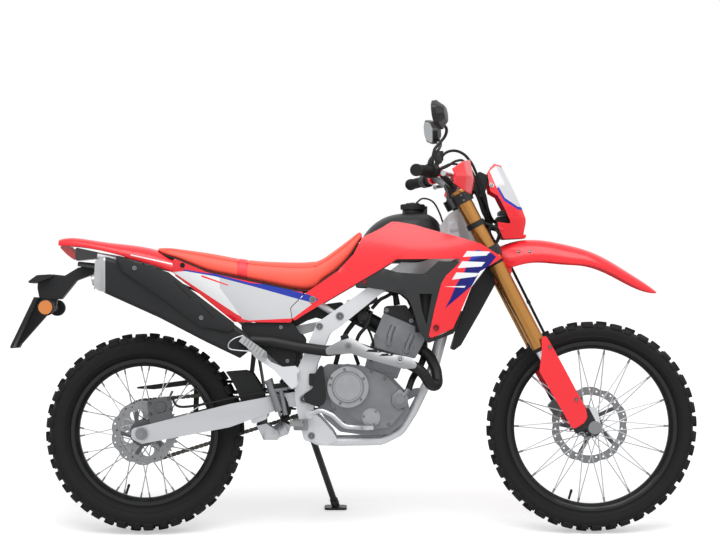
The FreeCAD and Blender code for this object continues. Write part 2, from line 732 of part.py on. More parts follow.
def silencer_end():
    """The bare metal cap on the muffler's rear end, with its outlet."""
    cap = plate([(-116, 782), (-116, 896), (-146, 884), (-150, 800), (-134, 786)],
                -SILENCER_Y - 36, -SILENCER_Y + 36, 8)
    outlet = rod(Vector(-130, -SILENCER_Y, 826), Vector(-160, -SILENCER_Y, 820), 17)
    bore = rod(Vector(-138, -SILENCER_Y, 824), Vector(-180, -SILENCER_Y, 816), 14)
    return fused([cap, outlet]).cut(bore)


def silencer_guard():
    """The plastic guard over the muffler's outer side."""
    outline = [
        (-88, 908), (-40, 886), (90, 846), (200, 760), (308, 678), (288, 655), (190, 672),
        (66, 765), (-56, 848),
    ]
    stations = []
    for x, low, high in ((-95, 820, 925), (60, 740, 880), (200, 650, 790), (320, 610, 720)):
        outer = SILENCER_Y + 46
        stations.append((x, [(low, outer - 2), ((low + high) / 2, outer + 3), (high, outer - 6)]))
    return right_side(plate(outline, 100, 260, 12).common(skin(stations, 10.0)))


def fuel_tank(frame, covers):
    """The tank between the seat's nose and the headstock, solid here, with its cap and side bosses."""
    stations = [
        (716, 78, 905, 966), (735, 94, 890, 992), (800, 110, 880, 1034), (850, 114, 880, 1043),
        (915, 108, 885, 1043), (948, 90, 905, 1028), (966, 70, 930, 1006),
    ]
    bosses = []
    for x, z in ((800, 930), (905, 930)):
        bosses += both_sides(boss_to(covers, x, z, 60, 9))
    return fused([crowned(stations)] + fuel_cap() + bosses).cut(frame)


def fuel_cap():
    """The filler cap with its hinge lug."""
    return [
        Part.makeCylinder(34, 26, Vector(878, 0, 1036)),
        Part.makeCylinder(39, 9, Vector(878, 0, 1060)),
        box_between((905, 926), (-9, 9), (1038, 1066)),
    ]


def radiator(frame):
    """The radiator, upright on the left beside the down tube, with its stays to the frame."""
    core = box_between((908, 932), (74, 142), (664, 812))
    low_tank = box_between((904, 936), (74, 142), (646, 666))
    high_tank = box_between((904, 936), (74, 142), (810, 834))
    high_stay = box_between((912, 928), (56, 84), (826, 856))
    low_stay = rod(Vector(922, 80, 656), Vector(976, 6, 656), 6)
    return fused([core, low_tank, high_tank, high_stay, low_stay]).cut(frame)


def shroud_skin(wall, inset=0.0):
    """The flank's curved surface, from the seat's side to the tip beside the fork."""
    stations = [
        (470, [(600, 118), (700, 120), (800, 120), (900, 108), (1040, 70)]),
        (600, [(600, 124), (700, 126), (800, 124), (900, 112), (1040, 70)]),
        (740, [(600, 138), (700, 137), (820, 133), (930, 120), (1040, 84)]),
        (880, [(600, 152), (710, 154), (830, 153), (930, 140), (1040, 86)]),
        (1000, [(600, 164), (720, 172), (840, 176), (930, 166), (1040, 110)]),
        (1100, [(600, 176), (740, 184), (860, 190), (930, 184), (1040, 160)]),
        (1180, [(600, 186), (760, 192), (880, 197), (930, 195), (1040, 190)]),
    ]
    moved = [(x, [(z, y - inset) for z, y in profile]) for x, profile in stations]
    return skin(moved, wall)


def shrouds():
    """The painted covers on both sides of the tank, out to the tips beside the fork."""
    outline = [
        (488, 686), (521, 708), (608, 760), (685, 805), (775, 858), (824, 889), (1029, 889),
        (1022, 874), (981, 835), (966, 810), (946, 734), (924, 630), (1004, 665), (1029, 722),
        (1062, 799), (1089, 848), (1163, 892), (1092, 938), (1012, 963), (937, 984), (882, 1001),
        (826, 1011), (808, 1012), (771, 989), (712, 960), (684, 906), (634, 852), (585, 818),
        (533, 782), (481, 731),
    ]
    shroud = plate(outline, 40, 240, 8).common(shroud_skin(PANEL_THICKNESS))
    return Part.makeCompound(both_sides(shroud))


def tank_covers():
    """The dark covers under the tank, set inside the painted ones, with an open vent."""
    outline = [
        (685, 800), (732, 797), (781, 789), (839, 777), (861, 758), (873, 734), (895, 661),
        (919, 620), (960, 650), (985, 740), (1004, 812), (1030, 880), (957, 882), (913, 842),
        (886, 841), (824, 847), (775, 862), (700, 822),
    ]
    vent = [(896, 777), (937, 777), (919, 677), (904, 724)]
    cover = plate(outline, 40, 240, 8).cut(plate(vent, 30, 250))
    cover = cover.common(shroud_skin(PANEL_THICKNESS, inset=PANEL_THICKNESS + SEAT_GAP))
    return Part.makeCompound(both_sides(cover))


def seat_profile():
    """The seat's stations: x, half width, edge z, top z."""
    return [
        (46, 66, 918, 928), (80, 92, 900, 929), (118, 100, 888, 925), (211, 106, 850, 912),
        (298, 108, 832, 896), (381, 106, 814, 886), (494, 96, 790, 882), (553, 88, 792, 885),
        (584, 84, 820, 895), (626, 80, 850, 924), (670, 74, 896, 957), (700, 66, 944, 980),
        (711, 58, 957, 976),
    ]


def seat():
    """The long seat; its pad is a plain solid here."""
    return crowned(seat_profile())


def side_panels():
    """The number panels under the seat, both sides."""
    outline = [
        (99, 846), (298, 686), (486, 684), (479, 732), (530, 783), (497, 786), (381, 811),
        (211, 847), (118, 886), (99, 893),
    ]
    stations = [
        (90, [(660, 108), (760, 108), (850, 107), (900, 103)]),
        (220, [(660, 115), (760, 116), (850, 113), (900, 108)]),
        (380, [(660, 120), (740, 121), (820, 117), (900, 110)]),
        (540, [(660, 122), (740, 123), (820, 121), (900, 112)]),
    ]
    panel = plate(outline, 40, 240, 8).common(skin(stations, PANEL_THICKNESS))
    return Part.makeCompound(both_sides(panel))


def tail_cowl(seat_pad):
    """The painted cover behind the seat."""
    stations = [
        (-281, 42, 936, 955), (-200, 60, 930, 958), (-119, 76, 914, 946), (-19, 94, 886, 934),
        (40, 102, 868, 922), (98, 106, 846, 904),
    ]
    inner = [
        (-278, 39, 935, 952), (-200, 57, 929, 955), (-119, 73, 913, 943), (-19, 91, 885, 931),
        (40, 99, 867, 919), (99, 103, 845, 901),
    ]
    return crowned(stations).cut(crowned(inner)).cut(seat_pad)


def tail_light(frame):
    """The lamp under the tail's end: a moulded lens in its housing."""
    lens = plate([(-281, 934), (-240, 932), (-225, 900), (-226, 886), (-252, 905)], -36, 36, 4)
    housing = plate([(-224, 930), (-150, 914), (-150, 893), (-224, 886)], -38, 38, 4)
    return fused([lens, box_between((-242, -223), (-30, 30), (900, 925)), housing]).cut(frame)


def rear_fender(frame):
    """The plain inner fender over the rear tyre, from the tail to ahead of the wheel."""
    stations = [
        (-216, 60, 868, 884), (-110, 74, 850, 872), (0, 80, 824, 852), (110, 84, 790, 820),
    ]
    inner = [
        (-217, 57, 867, 881), (-110, 71, 849, 869), (0, 77, 823, 849), (111, 81, 789, 817),
    ]
    roof = crowned(stations).cut(crowned(inner))
    front = plate([(108, 818), (230, 760), (316, 690), (372, 590), (392, 470), (388, 470),
                   (368, 588), (312, 687), (228, 756), (108, 814)], -70, 70)
    return fused([roof, front]).cut(frame)


def air_box(neighbours):
    """The air box and lower side covers, under the seat between the frame's sides."""
    outline = [
        (300, 684), (489, 682), (528, 627), (508, 552), (492, 520), (445, 548), (356, 627),
    ]
    covers = plate(outline, 98, 112, 16)
    middle = plate([(322, 700), (340, 780), (480, 768), (560, 740), (648, 752), (660, 716),
                    (600, 690), (560, 700), (530, 690), (490, 668), (420, 664)], -66, 66, 10)
    arms = [box_between((400, 440), (-100, 100), (672, 682))]
    return fused(both_sides(covers) + [middle] + arms + intake()).cut(neighbours)


def plate_bracket(fender):
    """The arm behind the tail that carries the blank number board."""
    arm = plate([
        (-350, 838), (-300, 842), (-262, 838), (-219, 864), (-150, 880), (-150, 850),
        (-224, 822), (-274, 760), (-346, 764), (-352, 797),
    ], -22, 22, 10)
    wings = plate([(-386, 812), (-349, 839), (-300, 842), (-300, 832), (-346, 815)], -60, 60, 4)
    board = plate([(-352, 768), (-432, 602), (-424, 600), (-342, 762)], -92, 92, 2)
    rib = plate([(-348, 768), (-426, 602), (-416, 602), (-325, 705), (-322, 764)], -12, 12, 4)
    x, z = LAMP_STALK
    drop = plate([(x - 22, z + 36), (x + 22, z + 36), (x + 12, z - 12), (x - 12, z - 12)], -14, 14, 4)
    stalks = cross_rod(x, z, -LAMP_STALK_REACH, LAMP_STALK_REACH, 8)
    return fused([arm, wings, board, rib, drop, stalks]).cut(fender)


def rear_indicators():
    """The turn lamps on both sides of the number board's arm."""
    lamps = []
    for side in (-1, 1):
        near, far = LAMP_STALK_REACH + SEAT_GAP, LAMP_STALK_REACH + 22
        ends = sorted((side * near, side * far))
        body = cross_rod(LAMP_STALK[0], LAMP_STALK[1], ends[0], ends[1], 27)
        glass = sorted((side * (far - 1), side * (far + 8)))
        lamps.append(body.fuse(cross_rod(LAMP_STALK[0], LAMP_STALK[1], glass[0], glass[1], 22)))
    return Part.makeCompound(lamps)


def pitch_radius(teeth):
    """A chain wheel's radius to the chain's pins."""
    return CHAIN_PITCH / (2 * math.sin(math.pi / teeth))


def chain_route():
    """The chain's four tangent points round its two wheels: the wheels' middles, radii and angle."""
    rear, front = (REAR_AXLE.x, REAR_AXLE.z), COUNTERSHAFT
    rear_radius, front_radius = pitch_radius(REAR_SPROCKET_TEETH), pitch_radius(FRONT_SPROCKET_TEETH)
    span = math.hypot(front[0] - rear[0], front[1] - rear[1])
    slope = math.atan2(front[1] - rear[1], front[0] - rear[0])
    spread = math.acos((rear_radius - front_radius) / span)
    return rear, front, rear_radius, front_radius, span, slope, spread


def chain_point(distance, offset):
    """A point beside the chain's pin line, by its distance along the loop from the upper run's rear."""
    rear, front, rear_radius, front_radius, span, slope, spread = chain_route()
    run = span * math.sin(spread)
    front_arc, rear_arc = 2 * spread * front_radius, 2 * (math.pi - spread) * rear_radius
    distance = distance % (2 * run + front_arc + rear_arc)
    if distance < run or run + front_arc <= distance < 2 * run + front_arc:
        upper = distance < run
        along = distance if upper else 2 * run + front_arc - distance
        angle = slope + spread if upper else slope - spread
        share = along / run
        x = rear[0] + (front[0] - rear[0]) * share
        z = rear[1] + (front[1] - rear[1]) * share
        radius = rear_radius + (front_radius - rear_radius) * share
    elif distance < run + front_arc:
        angle = slope + spread - (distance - run) / front_radius
        x, z = front
        radius = front_radius
    else:
        angle = slope - spread - (distance - 2 * run - front_arc) / rear_radius
        x, z = rear
        radius = rear_radius
    return x + (radius + offset) * math.cos(angle), z + (radius + offset) * math.sin(angle)


def chain_length():
    """The pin line's length round both wheels."""
    rear_radius, front_radius, span, spread = [chain_route()[i] for i in (2, 3, 4, 6)]
    return 2 * (span * math.sin(spread) + spread * front_radius + (math.pi - spread) * rear_radius)


def belt(offset, y_from, y_to, stepped=0.0):
    """A solid under a belt that lies at an offset from the pin line, stepped at each second link."""
    links = 2 * round(chain_length() / CHAIN_PITCH / 2)
    pitch = chain_length() / links
    outline = []
    for link in range(links):
        rise = stepped if link % 2 == 0 else 0.0
        for place_in_link in ((0.06, 0.94) if stepped else (0.0,)):
            outline.append(chain_point((link + place_in_link) * pitch, offset + rise))
    return plate(outline, y_from, y_to)


def drive_chain():
    """The chain as one fixed loop round both chain wheels, with its links in its outline."""
    half = CHAIN_HEIGHT / 2
    low, high = CHAIN_Y - CHAIN_WIDTH / 2, CHAIN_Y + CHAIN_WIDTH / 2
    outer = belt(half - CHAIN_PLATE_STEP, low, high, CHAIN_PLATE_STEP)
    inner = belt(-half, low - 1, high + 1)
    slot = belt(5.0, CHAIN_Y - CHAIN_SLOT / 2, CHAIN_Y + CHAIN_SLOT / 2)
    return outer.cut(inner).cut(slot)


def chain_guard():
    """The guard over the chain's upper run, and the slider on the arm."""
    x, z = REAR_AXLE.x, REAR_AXLE.z
    guard = plate([(x - 65, z + 141), (128, 493), (300, 492), (300, 484), (150, 478), (x + 23, z + 137)],
                  74, 96, 3)
    foot = plate([(150, 372), (166, 376), (172, 484), (152, 484)], 99, 104, 2)
    return [guard, foot, box_between((150, 172), (90, 104), (478, 484))]


def foot_pegs(frame):
    """The rider's pegs and the passenger's pegs on their arms, both sides."""
    peg = fused([
        box_between((480, 524), (132, 206), (352, 362)),
        plate([(490, 336), (538, 336), (536, 372), (490, 372)], 112, 134, 6),
        box_between((484, 520), (138, 204), (361, 368)),
    ])
    arm = fused([
        plate([(344, 630), (386, 596), (419, 558), (457, 542), (503, 546), (503, 480), (486, 470),
               (427, 533), (369, 571), (335, 612)], PEG_HANGER_Y, PEG_HANGER_Y + 6, 8),
        cross_rod(496, 490, 112, PEG_HANGER_Y + 3, 10),
        cross_rod(500, 530, 112, PEG_HANGER_Y + 3, 10),
        cross_rod(398, 582, PEG_HANGER_Y, PASSENGER_PEG_Y + 10, 9),
        bar(Vector(400, PASSENGER_PEG_Y, 580), Vector(324, PASSENGER_PEG_Y, 634), 24, 20),
    ])
    pieces = both_sides(peg) + both_sides(arm) + [heel_plate()]
    return Part.makeCompound([piece.cut(frame) for piece in pieces])


def foot_levers(frame):
    """The brake pedal on the right and the gear lever on the left."""
    return Part.makeCompound([brake_pedal().cut(frame), shift_lever()])


def brake_pedal():
    """The brake pedal beside the right engine cover."""
    route = [(542, -140, 388), (578, -152, 404), (618, -162, 386), (655, -162, 350), (735, -162, 345)]
    pieces = [bent_tube(route, 8, 40), cross_rod(542, 388, -150, -112, 13),
              box_between((712, 748), (-174, -144), (340, 352))]
    return fused(pieces)


def shift_lever():
    """The gear lever beside the left engine cover."""
    route = [(640, 112, 372), (700, 128, 352), (748, 132, 346)]
    pieces = [bent_tube(route, 7, 40), cross_rod(640, 372, 66.3, 120, 11), cross_rod(748, 346, 125, 165, 9)]
    return fused(pieces)


def rear_caliper():
    """The rear brake caliper over its disc, with its carrier on the arm."""
    x, z = REAR_AXLE.x, REAR_AXLE.z
    body = plate([(x + 20, z + 47), (x + 96, z + 67), (x + 88, z + 121), (x + 14, z + 105)], -96, -50, 10)
    slot = cross_rod(x, z, REAR_DISC_Y - 3.5, REAR_DISC_Y + 3.5, REAR_DISC_RADIUS + 3)
    carrier = plate([(x + 24, z + 31), (x + 100, z + 51), (x + 92, z + 75), (x + 20, z + 55)],
                    -ARM_OUTER_Y + ARM_THICKNESS + SEAT_GAP, -88, 6)
    return fused([body, carrier]).cut(slot)


def heel_plate():
    """The dark guard above the right peg."""
    outline = [
        (584, 560), (592, 500), (596, 440), (590, 424), (572, 411), (527, 427), (522, 452),
        (553, 473), (560, 520),
    ]
    return plate(outline, -136, -130, 10).fuse(
        plate([(540, 480), (566, 480), (566, 520), (540, 520)], -131, -112, 6))


def fork_point(side, up, forward=0.0):
    """A point on a fork leg's centre line, by its height along the steering axis."""
    return on_axis(CLAMP_OFFSET + forward, side * FORK_HALF_SPACING, up)


def leg_place(forward, across, up):
    """A point by its place ahead of the steering axis and above the front axle."""
    return on_axis(forward, across, axle_up() + up)


def leg_plate(outline, y_from, y_to, corner):
    """A flat piece beside a fork leg: its outline ahead of the axis and above the axle."""
    wire = closed_wire([leg_place(forward, y_from, up) for forward, up in outline], corner)
    return Part.Face(wire).extrude(Vector(0, y_to - y_from, 0))


def triple_clamps():
    """The two fork clamps with the steering stem between them."""
    pieces = []
    for z in (UPPER_CLAMP_Z, LOWER_CLAMP_Z):
        up = along_axis(z)
        low, high = up - CLAMP_THICKNESS / 2, up + CLAMP_THICKNESS / 2
        pieces.append(rod(on_axis(0, 0, low), on_axis(0, 0, high), 32))
        for side in (-1, 1):
            pieces.append(rod(fork_point(side, low), fork_point(side, high), FORK_TUBE_RADIUS + 8))
        corners = [on_axis(f, y, low) for f, y in
                   ((-22, -20), (-4, -FORK_HALF_SPACING), (48, -FORK_HALF_SPACING), (44, 0),
                    (48, FORK_HALF_SPACING), (-4, FORK_HALF_SPACING), (-22, 20))]
        bridge = Part.Face(Part.makePolygon(corners + corners[:1]))
        pieces.append(bridge.extrude(Vector(AXIS_UP).multiply(CLAMP_THICKNESS)))
    pieces.append(rod(on_axis(0, 0, along_axis(LOWER_CLAMP_Z)), on_axis(0, 0, along_axis(UPPER_CLAMP_Z)),
                      STEM_RADIUS))
    riser = [(996, 1084), (1028, 1068), (1020, 1120), (990, 1120)]
    for middle in (-45, 45):
        pieces.append(plate(riser, middle - 12, middle + 12))
        pieces.append(cross_rod(BAR_CLAMP.x, BAR_CLAMP.z, middle - 13, middle + 13, 20))
    clamps = fused(pieces + instrument())
    for side in (-1, 1):
        bore = rod(fork_point(side, along_axis(LOWER_CLAMP_Z) - 60),
                   fork_point(side, along_axis(UPPER_CLAMP_Z) + 60), FORK_TUBE_RADIUS + SEAT_GAP)
        clamps = clamps.cut(bore)
    return clamps.cut(cross_rod(BAR_CLAMP.x, BAR_CLAMP.z, -80, 80, BAR_RADIUS + SEAT_GAP))


def fork_legs_up():
    """The heights along the axis where the outer tubes begin and end."""
    return along_axis(FORK_TUBE_BOTTOM_Z), along_axis(FORK_TOP_Z)


def fork_tubes():
    """The outer fork tubes, anodised, with their caps."""
    low, high = fork_legs_up()
    legs = []
    for side in (-1, 1):
        leg = rod(fork_point(side, low), fork_point(side, high), FORK_TUBE_RADIUS)
        bore = rod(fork_point(side, low - 1), fork_point(side, high - 60), FORK_SLIDER_RADIUS + SEAT_GAP)
        legs.append(leg.cut(bore))
    return Part.makeCompound(legs)


def fork_sliders():
    """The inner fork tubes with the cast feet that hold the front axle."""
    low = axle_up()
    high = fork_legs_up()[0] + 180
    pieces = []
    for side in (-1, 1):
        pieces.append(rod(fork_point(side, low + 30), fork_point(side, high), FORK_SLIDER_RADIUS))
        pieces.append(rod(fork_point(side, low + 10), fork_point(side, low + 80), FORK_SLIDER_RADIUS + 5))
        inner = side * FORK_HALF_SPACING - 20
        pieces.append(cross_rod(FRONT_AXLE.x, FRONT_AXLE.z, inner, inner + 40, 23))
        web = [(FRONT_AXLE.x - 22, FRONT_AXLE.z + 4), (FRONT_AXLE.x + 22, FRONT_AXLE.z - 4),
               (FRONT_AXLE.x + 6, FRONT_AXLE.z + 66), (FRONT_AXLE.x - 60, FRONT_AXLE.z + 60),
               (FRONT_AXLE.x - 66, FRONT_AXLE.z + 28)]
        pieces.append(plate(web, inner + 2, inner + 38, 8))
    pieces.append(cross_rod(FRONT_AXLE.x, FRONT_AXLE.z, -FORK_HALF_SPACING, FORK_HALF_SPACING, AXLE_RADIUS))
    spacer_from = FRONT_FLANGE_Y + 6 + SEAT_GAP
    for side in (-1, 1):
        ends = sorted((side * spacer_from, side * (FORK_HALF_SPACING - 18)))
        pieces.append(cross_rod(FRONT_AXLE.x, FRONT_AXLE.z, ends[0], ends[1], SPACER_RADIUS))
    right_end = -FORK_HALF_SPACING - 20
    hollow = cross_rod(FRONT_AXLE.x, FRONT_AXLE.z, right_end, right_end + AXLE_BORE_DEPTH, AXLE_BORE_RADIUS)
    return fused(pieces).cut(hollow)


def fork_guards(sliders):
    """The painted guards in front of the sliders."""
    outline = [
        (58, 367), (62, 245), (64, 71), (55, 42), (37, 31), (-5, 28), (-14, 246), (19, 293),
    ]
    outer_y = FORK_HALF_SPACING + 36
    inner_y = FORK_HALF_SPACING - 28
    solid = leg_plate(outline, inner_y, outer_y, 12)
    hollow_outline = [
        (-1, 366), (55, 370), (57, 246), (58, 76), (50, 46), (-15, 35), (-26, 188),
    ]
    hollow = leg_plate(hollow_outline, inner_y - 5, outer_y - 3, 12)
    guard = solid.cut(hollow)
    return Part.makeCompound([side.cut(sliders) for side in both_sides(guard)])


def front_fender():
    """The high front fender, with the flap that runs down behind the fork legs."""
    stations = [
        (1168, 66, 866, 936), (1205, 76, 866, 948), (1250, 86, 878, 955), (1340, 92, 880, 947),
        (1432, 90, 873, 925), (1488, 84, 860, 903), (1551, 72, 830, 868), (1625, 50, 792, 822),
        (1676, 22, 780, 786),
    ]
    wall = PANEL_THICKNESS
    inner = [(x, half - wall, low - 1, high - wall) for x, half, low, high in stations]
    inner[-1] = (1680, 18, 777, 782)
    inner[0] = (1160, 60, 863, 930)
    front = crowned(stations).cut(crowned(inner))
    flap_outline = [
        (1200, 893), (1150, 880), (1120, 862), (1074, 801), (1028, 682), (998, 584), (1034, 610),
        (1097, 720), (1145, 808), (1200, 846),
    ]
    hollow_outline = [
        (1210, 889), (1152, 876), (1123, 859), (1077, 799), (1031, 681), (1003, 592), (1060, 560),
        (1180, 700), (1220, 830),
    ]
    flap = plate(flap_outline, -66, 66, 10).cut(plate(hollow_outline, -63, 63, 10))
    clamp_underside = along_axis(LOWER_CLAMP_Z) - CLAMP_THICKNESS / 2 - SEAT_GAP
    posts = [rod(on_axis(30, y, clamp_underside - 26), on_axis(30, y, clamp_underside), 8) for y in (-32, 32)]
    return fused([front, flap] + posts)


def headlight_mask():
    """The painted mask round the lamp, with the pale panel on its face."""
    outline = [
        (1140, 1202), (1166, 1197), (1236, 1051), (1246, 1024), (1249, 960), (1172, 957),
        (1142, 1012), (1198, 1006), (1152, 1097), (1128, 1111), (1120, 1168),
    ]
    rings = []
    for z, half_front, half_back, front_x, back_x in (
        (957, 34, 76, 1249, 1160), (1024, 52, 92, 1246, 1150), (1060, 60, 96, 1232, 1140),
        (1130, 62, 92, 1200, 1118), (1203, 44, 60, 1164, 1110),
    ):
        corners = [
            Vector(back_x, -half_back, z), Vector(front_x - 20, -half_front - 14, z),
            Vector(front_x, -half_front + 8, z), Vector(front_x, half_front - 8, z),
            Vector(front_x - 20, half_front + 14, z), Vector(back_x, half_back, z),
        ]
        inner = [
            Vector(back_x, half_back - 3, z), Vector(front_x - 22, half_front + 11, z),
            Vector(front_x - 4, half_front - 10, z), Vector(front_x - 4, -half_front + 10, z),
            Vector(front_x - 22, -half_front - 11, z), Vector(back_x, -half_back + 3, z),
        ]
        rings.append(Part.makePolygon(corners + inner + corners[:1]))
    shell = Part.makeLoft(rings, True, True)
    mask = shell.common(plate(outline, -120, 120, 6))
    window = box_between((1180, 1300), (-40, 40), (972, 1040))
    bracket = box_between((1160, 1206), (-74, 74), (1036 + SEAT_GAP, 1048))
    pieces = [mask.cut(window), bracket]
    band_up = along_axis(990)
    for side in (-1, 1):
        band = rod(fork_point(side, band_up - 9), fork_point(side, band_up + 9), FORK_TUBE_RADIUS + 5)
        arm = rod(fork_point(side, band_up, 20), Vector(1172, side * 74, 985), 5)
        tube_low, tube_high = fork_point(side, band_up - 60), fork_point(side, band_up + 60)
        tube = rod(tube_low, tube_high, FORK_TUBE_RADIUS + SEAT_GAP)
        pieces.append(band.fuse(arm).cut(tube))
    return fused(pieces)


def headlight():
    """The lamp unit in the mask's window, and the carrier behind it."""
    lens = plate([(1196, 976), (1240, 976), (1238, 1020), (1228, 1036), (1196, 1036)], -38, 38, 6)
    shell = plate([(LAMP_BACK_X, 985), (1197, 978), (1197, 1034), (LAMP_BACK_X, 1030)], -34, 34, 8)
    return fused([lens, shell])


def instrument():
    """The small instrument box ahead of the handlebar, with its stay."""
    body = plate([(1062, 1120), (1108, 1096), (1130, 1160), (1092, 1178)], -62, 62, 8)
    stay = plate([(1030, 1080), (1066, 1074), (1086, 1130), (1072, 1136)], -20, 20)
    return [body, stay]


def bar_points(side):
    """The handlebar's bends on one side, from its middle to its end."""
    return [
        (BAR_CLAMP.x, 0, BAR_CLAMP.z), (BAR_CLAMP.x, side * 75, BAR_CLAMP.z),
        (958, side * 190, 1168), (880, side * 392, 1160),
    ]


def handlebar():
    """The bent handlebar tube with its grips, switch blocks and levers."""
    left, right = bar_points(1), bar_points(-1)
    route = list(reversed(right))[:-1] + left[1:]
    return fused([bent_tube(route, BAR_RADIUS, 50)] + controls())


def bar_place(side, distance):
    """A point on the handlebar's straight outer run, measured from its end."""
    end, start = Vector(*bar_points(side)[3]), Vector(*bar_points(side)[2])
    inward = start.sub(end).normalize()
    return end.add(inward.multiply(distance))


def controls():
    """Grips, switch blocks, brake cylinder and levers on the handlebar."""
    sides = []
    for side in (-1, 1):
        end, grip_end = bar_place(side, -3), bar_place(side, GRIP_LENGTH)
        collar_end = bar_place(side, GRIP_LENGTH + 38)
        perch = bar_place(side, GRIP_LENGTH + 58)
        pieces = [
            rod(end, grip_end, GRIP_RADIUS),
            rod(end, bar_place(side, 8), GRIP_RADIUS + 3),
            rod(grip_end, collar_end, 23),
            rod(collar_end, perch, 16),
        ]
        lever = [
            perch.add(Vector(8, 0, -2)), perch.add(Vector(44, side * 2, -10)),
            perch.add(Vector(50, side * 60, -16)), perch.add(Vector(20, side * 160, -16)),
        ]
        pieces.append(bent_tube([tuple(p) for p in lever], 6, 18))
        pieces.append(rod(bar_place(side, GRIP_LENGTH + 46), perch.add(Vector(9, side * 8, 34)), 8))
        if side < 0:
            pieces.append(rod(perch.add(Vector(8, -14, 35)), perch.add(Vector(14, 46, 37)), 11))
            pieces.append(rod(perch.add(Vector(12, 24, 36)), perch.add(Vector(12, 24, 66)), 15))
        else:
            pieces.append(rod(perch.add(Vector(8, 14, 35)), perch.add(Vector(24, -22, 36)), 9))
        sides += pieces
    return sides


def mirrors(bars):
    """Two mirrors on bent stems from the lever perches."""
    pair = []
    for side in (-1, 1):
        foot = bar_place(side, GRIP_LENGTH + 20)
        foot = foot.add(Vector(0, 0, 20))
        route = [tuple(foot), (foot.x + 10, foot.y, foot.z + 50), (988, side * 252, 1290),
                 (958, side * 318, 1322)]
        stem = bent_tube(route, MIRROR_STEM_RADIUS, 30)
        base = Part.makeCylinder(9, 16, foot)
        outline = [(-62, -20), (-48, -36), (30, -40), (58, -22), (66, 8), (40, 34), (-30, 40), (-62, 18)]
        points = [Vector(0, y, z) for y, z in outline]
        face = Part.Face(closed_wire(points, 16))
        thick = face.extrude(Vector(16, 0, 0))
        dome = Part.makeLoft([
            closed_wire([Vector(14, y, z) for y, z in outline], 16),
            closed_wire([Vector(36, y * 0.55, z * 0.55) for y, z in outline], 9),
        ], True)
        head = thick.fuse(dome)
        if side < 0:
            head = head.mirror(Vector(0, 0, 0), Y_AXIS)
        head.rotate(Vector(0, 0, 0), Vector(1, 0, 0), side * 14)
        head.rotate(Vector(0, 0, 0), Vector(0, 1, 0), -6)
        head.rotate(Vector(0, 0, 0), Vector(0, 0, 1), side * 12)
        head.translate(Vector(940, side * 332, 1338))
        pair.append(fused([stem, base, head]).cut(bars))
    return Part.makeCompound(pair)


def hand_guards(bars):
    """The painted guards in front of both grips."""
    guards = []
    for side in (-1, 1):
        rings = []
        for y, x, low, high, deep in ((168, 1040, 1140, 1156, 6), (200, 1066, 1110, 1170, 6),
                                      (270, 1058, 1092, 1200, 5), (340, 1034, 1100, 1190, 5),
                                      (392, 1000, 1120, 1164, 5)):
            rings.append(closed_wire([
                Vector(x, side * y, low), Vector(x + 6, side * y, (low + high) / 2),
                Vector(x - 4, side * y, high), Vector(x - 4 - deep, side * y, high),
                Vector(x + 6 - deep, side * y, (low + high) / 2), Vector(x - deep, side * y, low),
            ]))
        shell = Part.makeLoft(rings, True, True)
        mount = bar_place(side, GRIP_LENGTH + 69)
        arm = rod(bar_place(side, GRIP_LENGTH + 78), Vector(1054, side * 192, 1142), 7)
        clamp = rod(mount, bar_place(side, GRIP_LENGTH + 83), 17)
        bar_bore = rod(bar_place(side, 60), bar_place(side, 320), BAR_RADIUS + SEAT_GAP)
        guards.append(fused([shell, arm, clamp]).cut(bar_bore).cut(bars))
    return Part.makeCompound(guards)


def front_caliper(sliders):
    """The front brake caliper behind the left fork leg, over its disc."""
    body = leg_plate([(-32, 121), (16, 139), (27, 108), (-25, 77)], 38, 88, 8)
    carrier = leg_plate([(5, 138), (27, 108), (50, 74), (29, 64), (2, 85)], 72.5, 90, 6)
    slot = cross_rod(FRONT_AXLE.x, FRONT_AXLE.z, FRONT_DISC_Y - 3.5, FRONT_DISC_Y + 3.5,
                     FRONT_DISC_RADIUS + 3)
    return fused([body, carrier]).cut(slot).cut(sliders)


def control_cables(bars, lamp, caliper):
    """The front brake's hose, and the throttle and clutch cables as far as the lamp."""
    right, left = bar_place(-1, GRIP_LENGTH + 58), bar_place(1, GRIP_LENGTH + 58)
    twist = bar_place(-1, GRIP_LENGTH + 19)
    brake_hose = bent_tube([
        (right.x + 14.4, right.y + 46.4, right.z + 37), (964, -152, 1214), (984, -132, 1236),
        (1014, -116, 1242), (1044, -104, 1230), (1070, -92, 1198), (1090, -84, 1152), (1104, -76, 1096),
        (1112, -46, 1054), (1118, 16, 1036), (1122, 58, 1010), (1146, 84, 962), (1190, 92, 905),
        (1216, 78, 850),
    ] + [leg_place(forward, y, up) for forward, y, up in (
        (72, 64, 454), (70, 62, 329), (46, 62, 252), (16, 64, 188), (-11, 64, 156), (-8.5, 64, 131),
    )], 4.5, 80).cut(caliper)
    throttle = bent_tube([
        (twist.x + 18, twist.y, twist.z + 3), (980, -256, 1178), (1006, -232, 1198), (1032, -190, 1206),
        (1058, -142, 1186), (1084, -108, 1142), (1106, -90, 1088), (1124, -66, 1044), (1138, -38, 1020),
        (LAMP_BACK_X + 2, -24, 1012),
    ], 4.0, 60).cut(bars)
    clutch = bent_tube([
        (left.x + 24.1, left.y - 22.3, left.z + 36), (984, 172, 1206), (1008, 146, 1216), (1036, 124, 1212),
        (1062, 106, 1188), (1086, 92, 1148), (1104, 84, 1094), (1120, 64, 1048), (1136, 38, 1022),
        (LAMP_BACK_X + 2, 24, 1012),
    ], 4.0, 60)
    return Part.makeCompound([brake_hose.cut(bars), throttle.cut(lamp), clutch.cut([bars, lamp])])


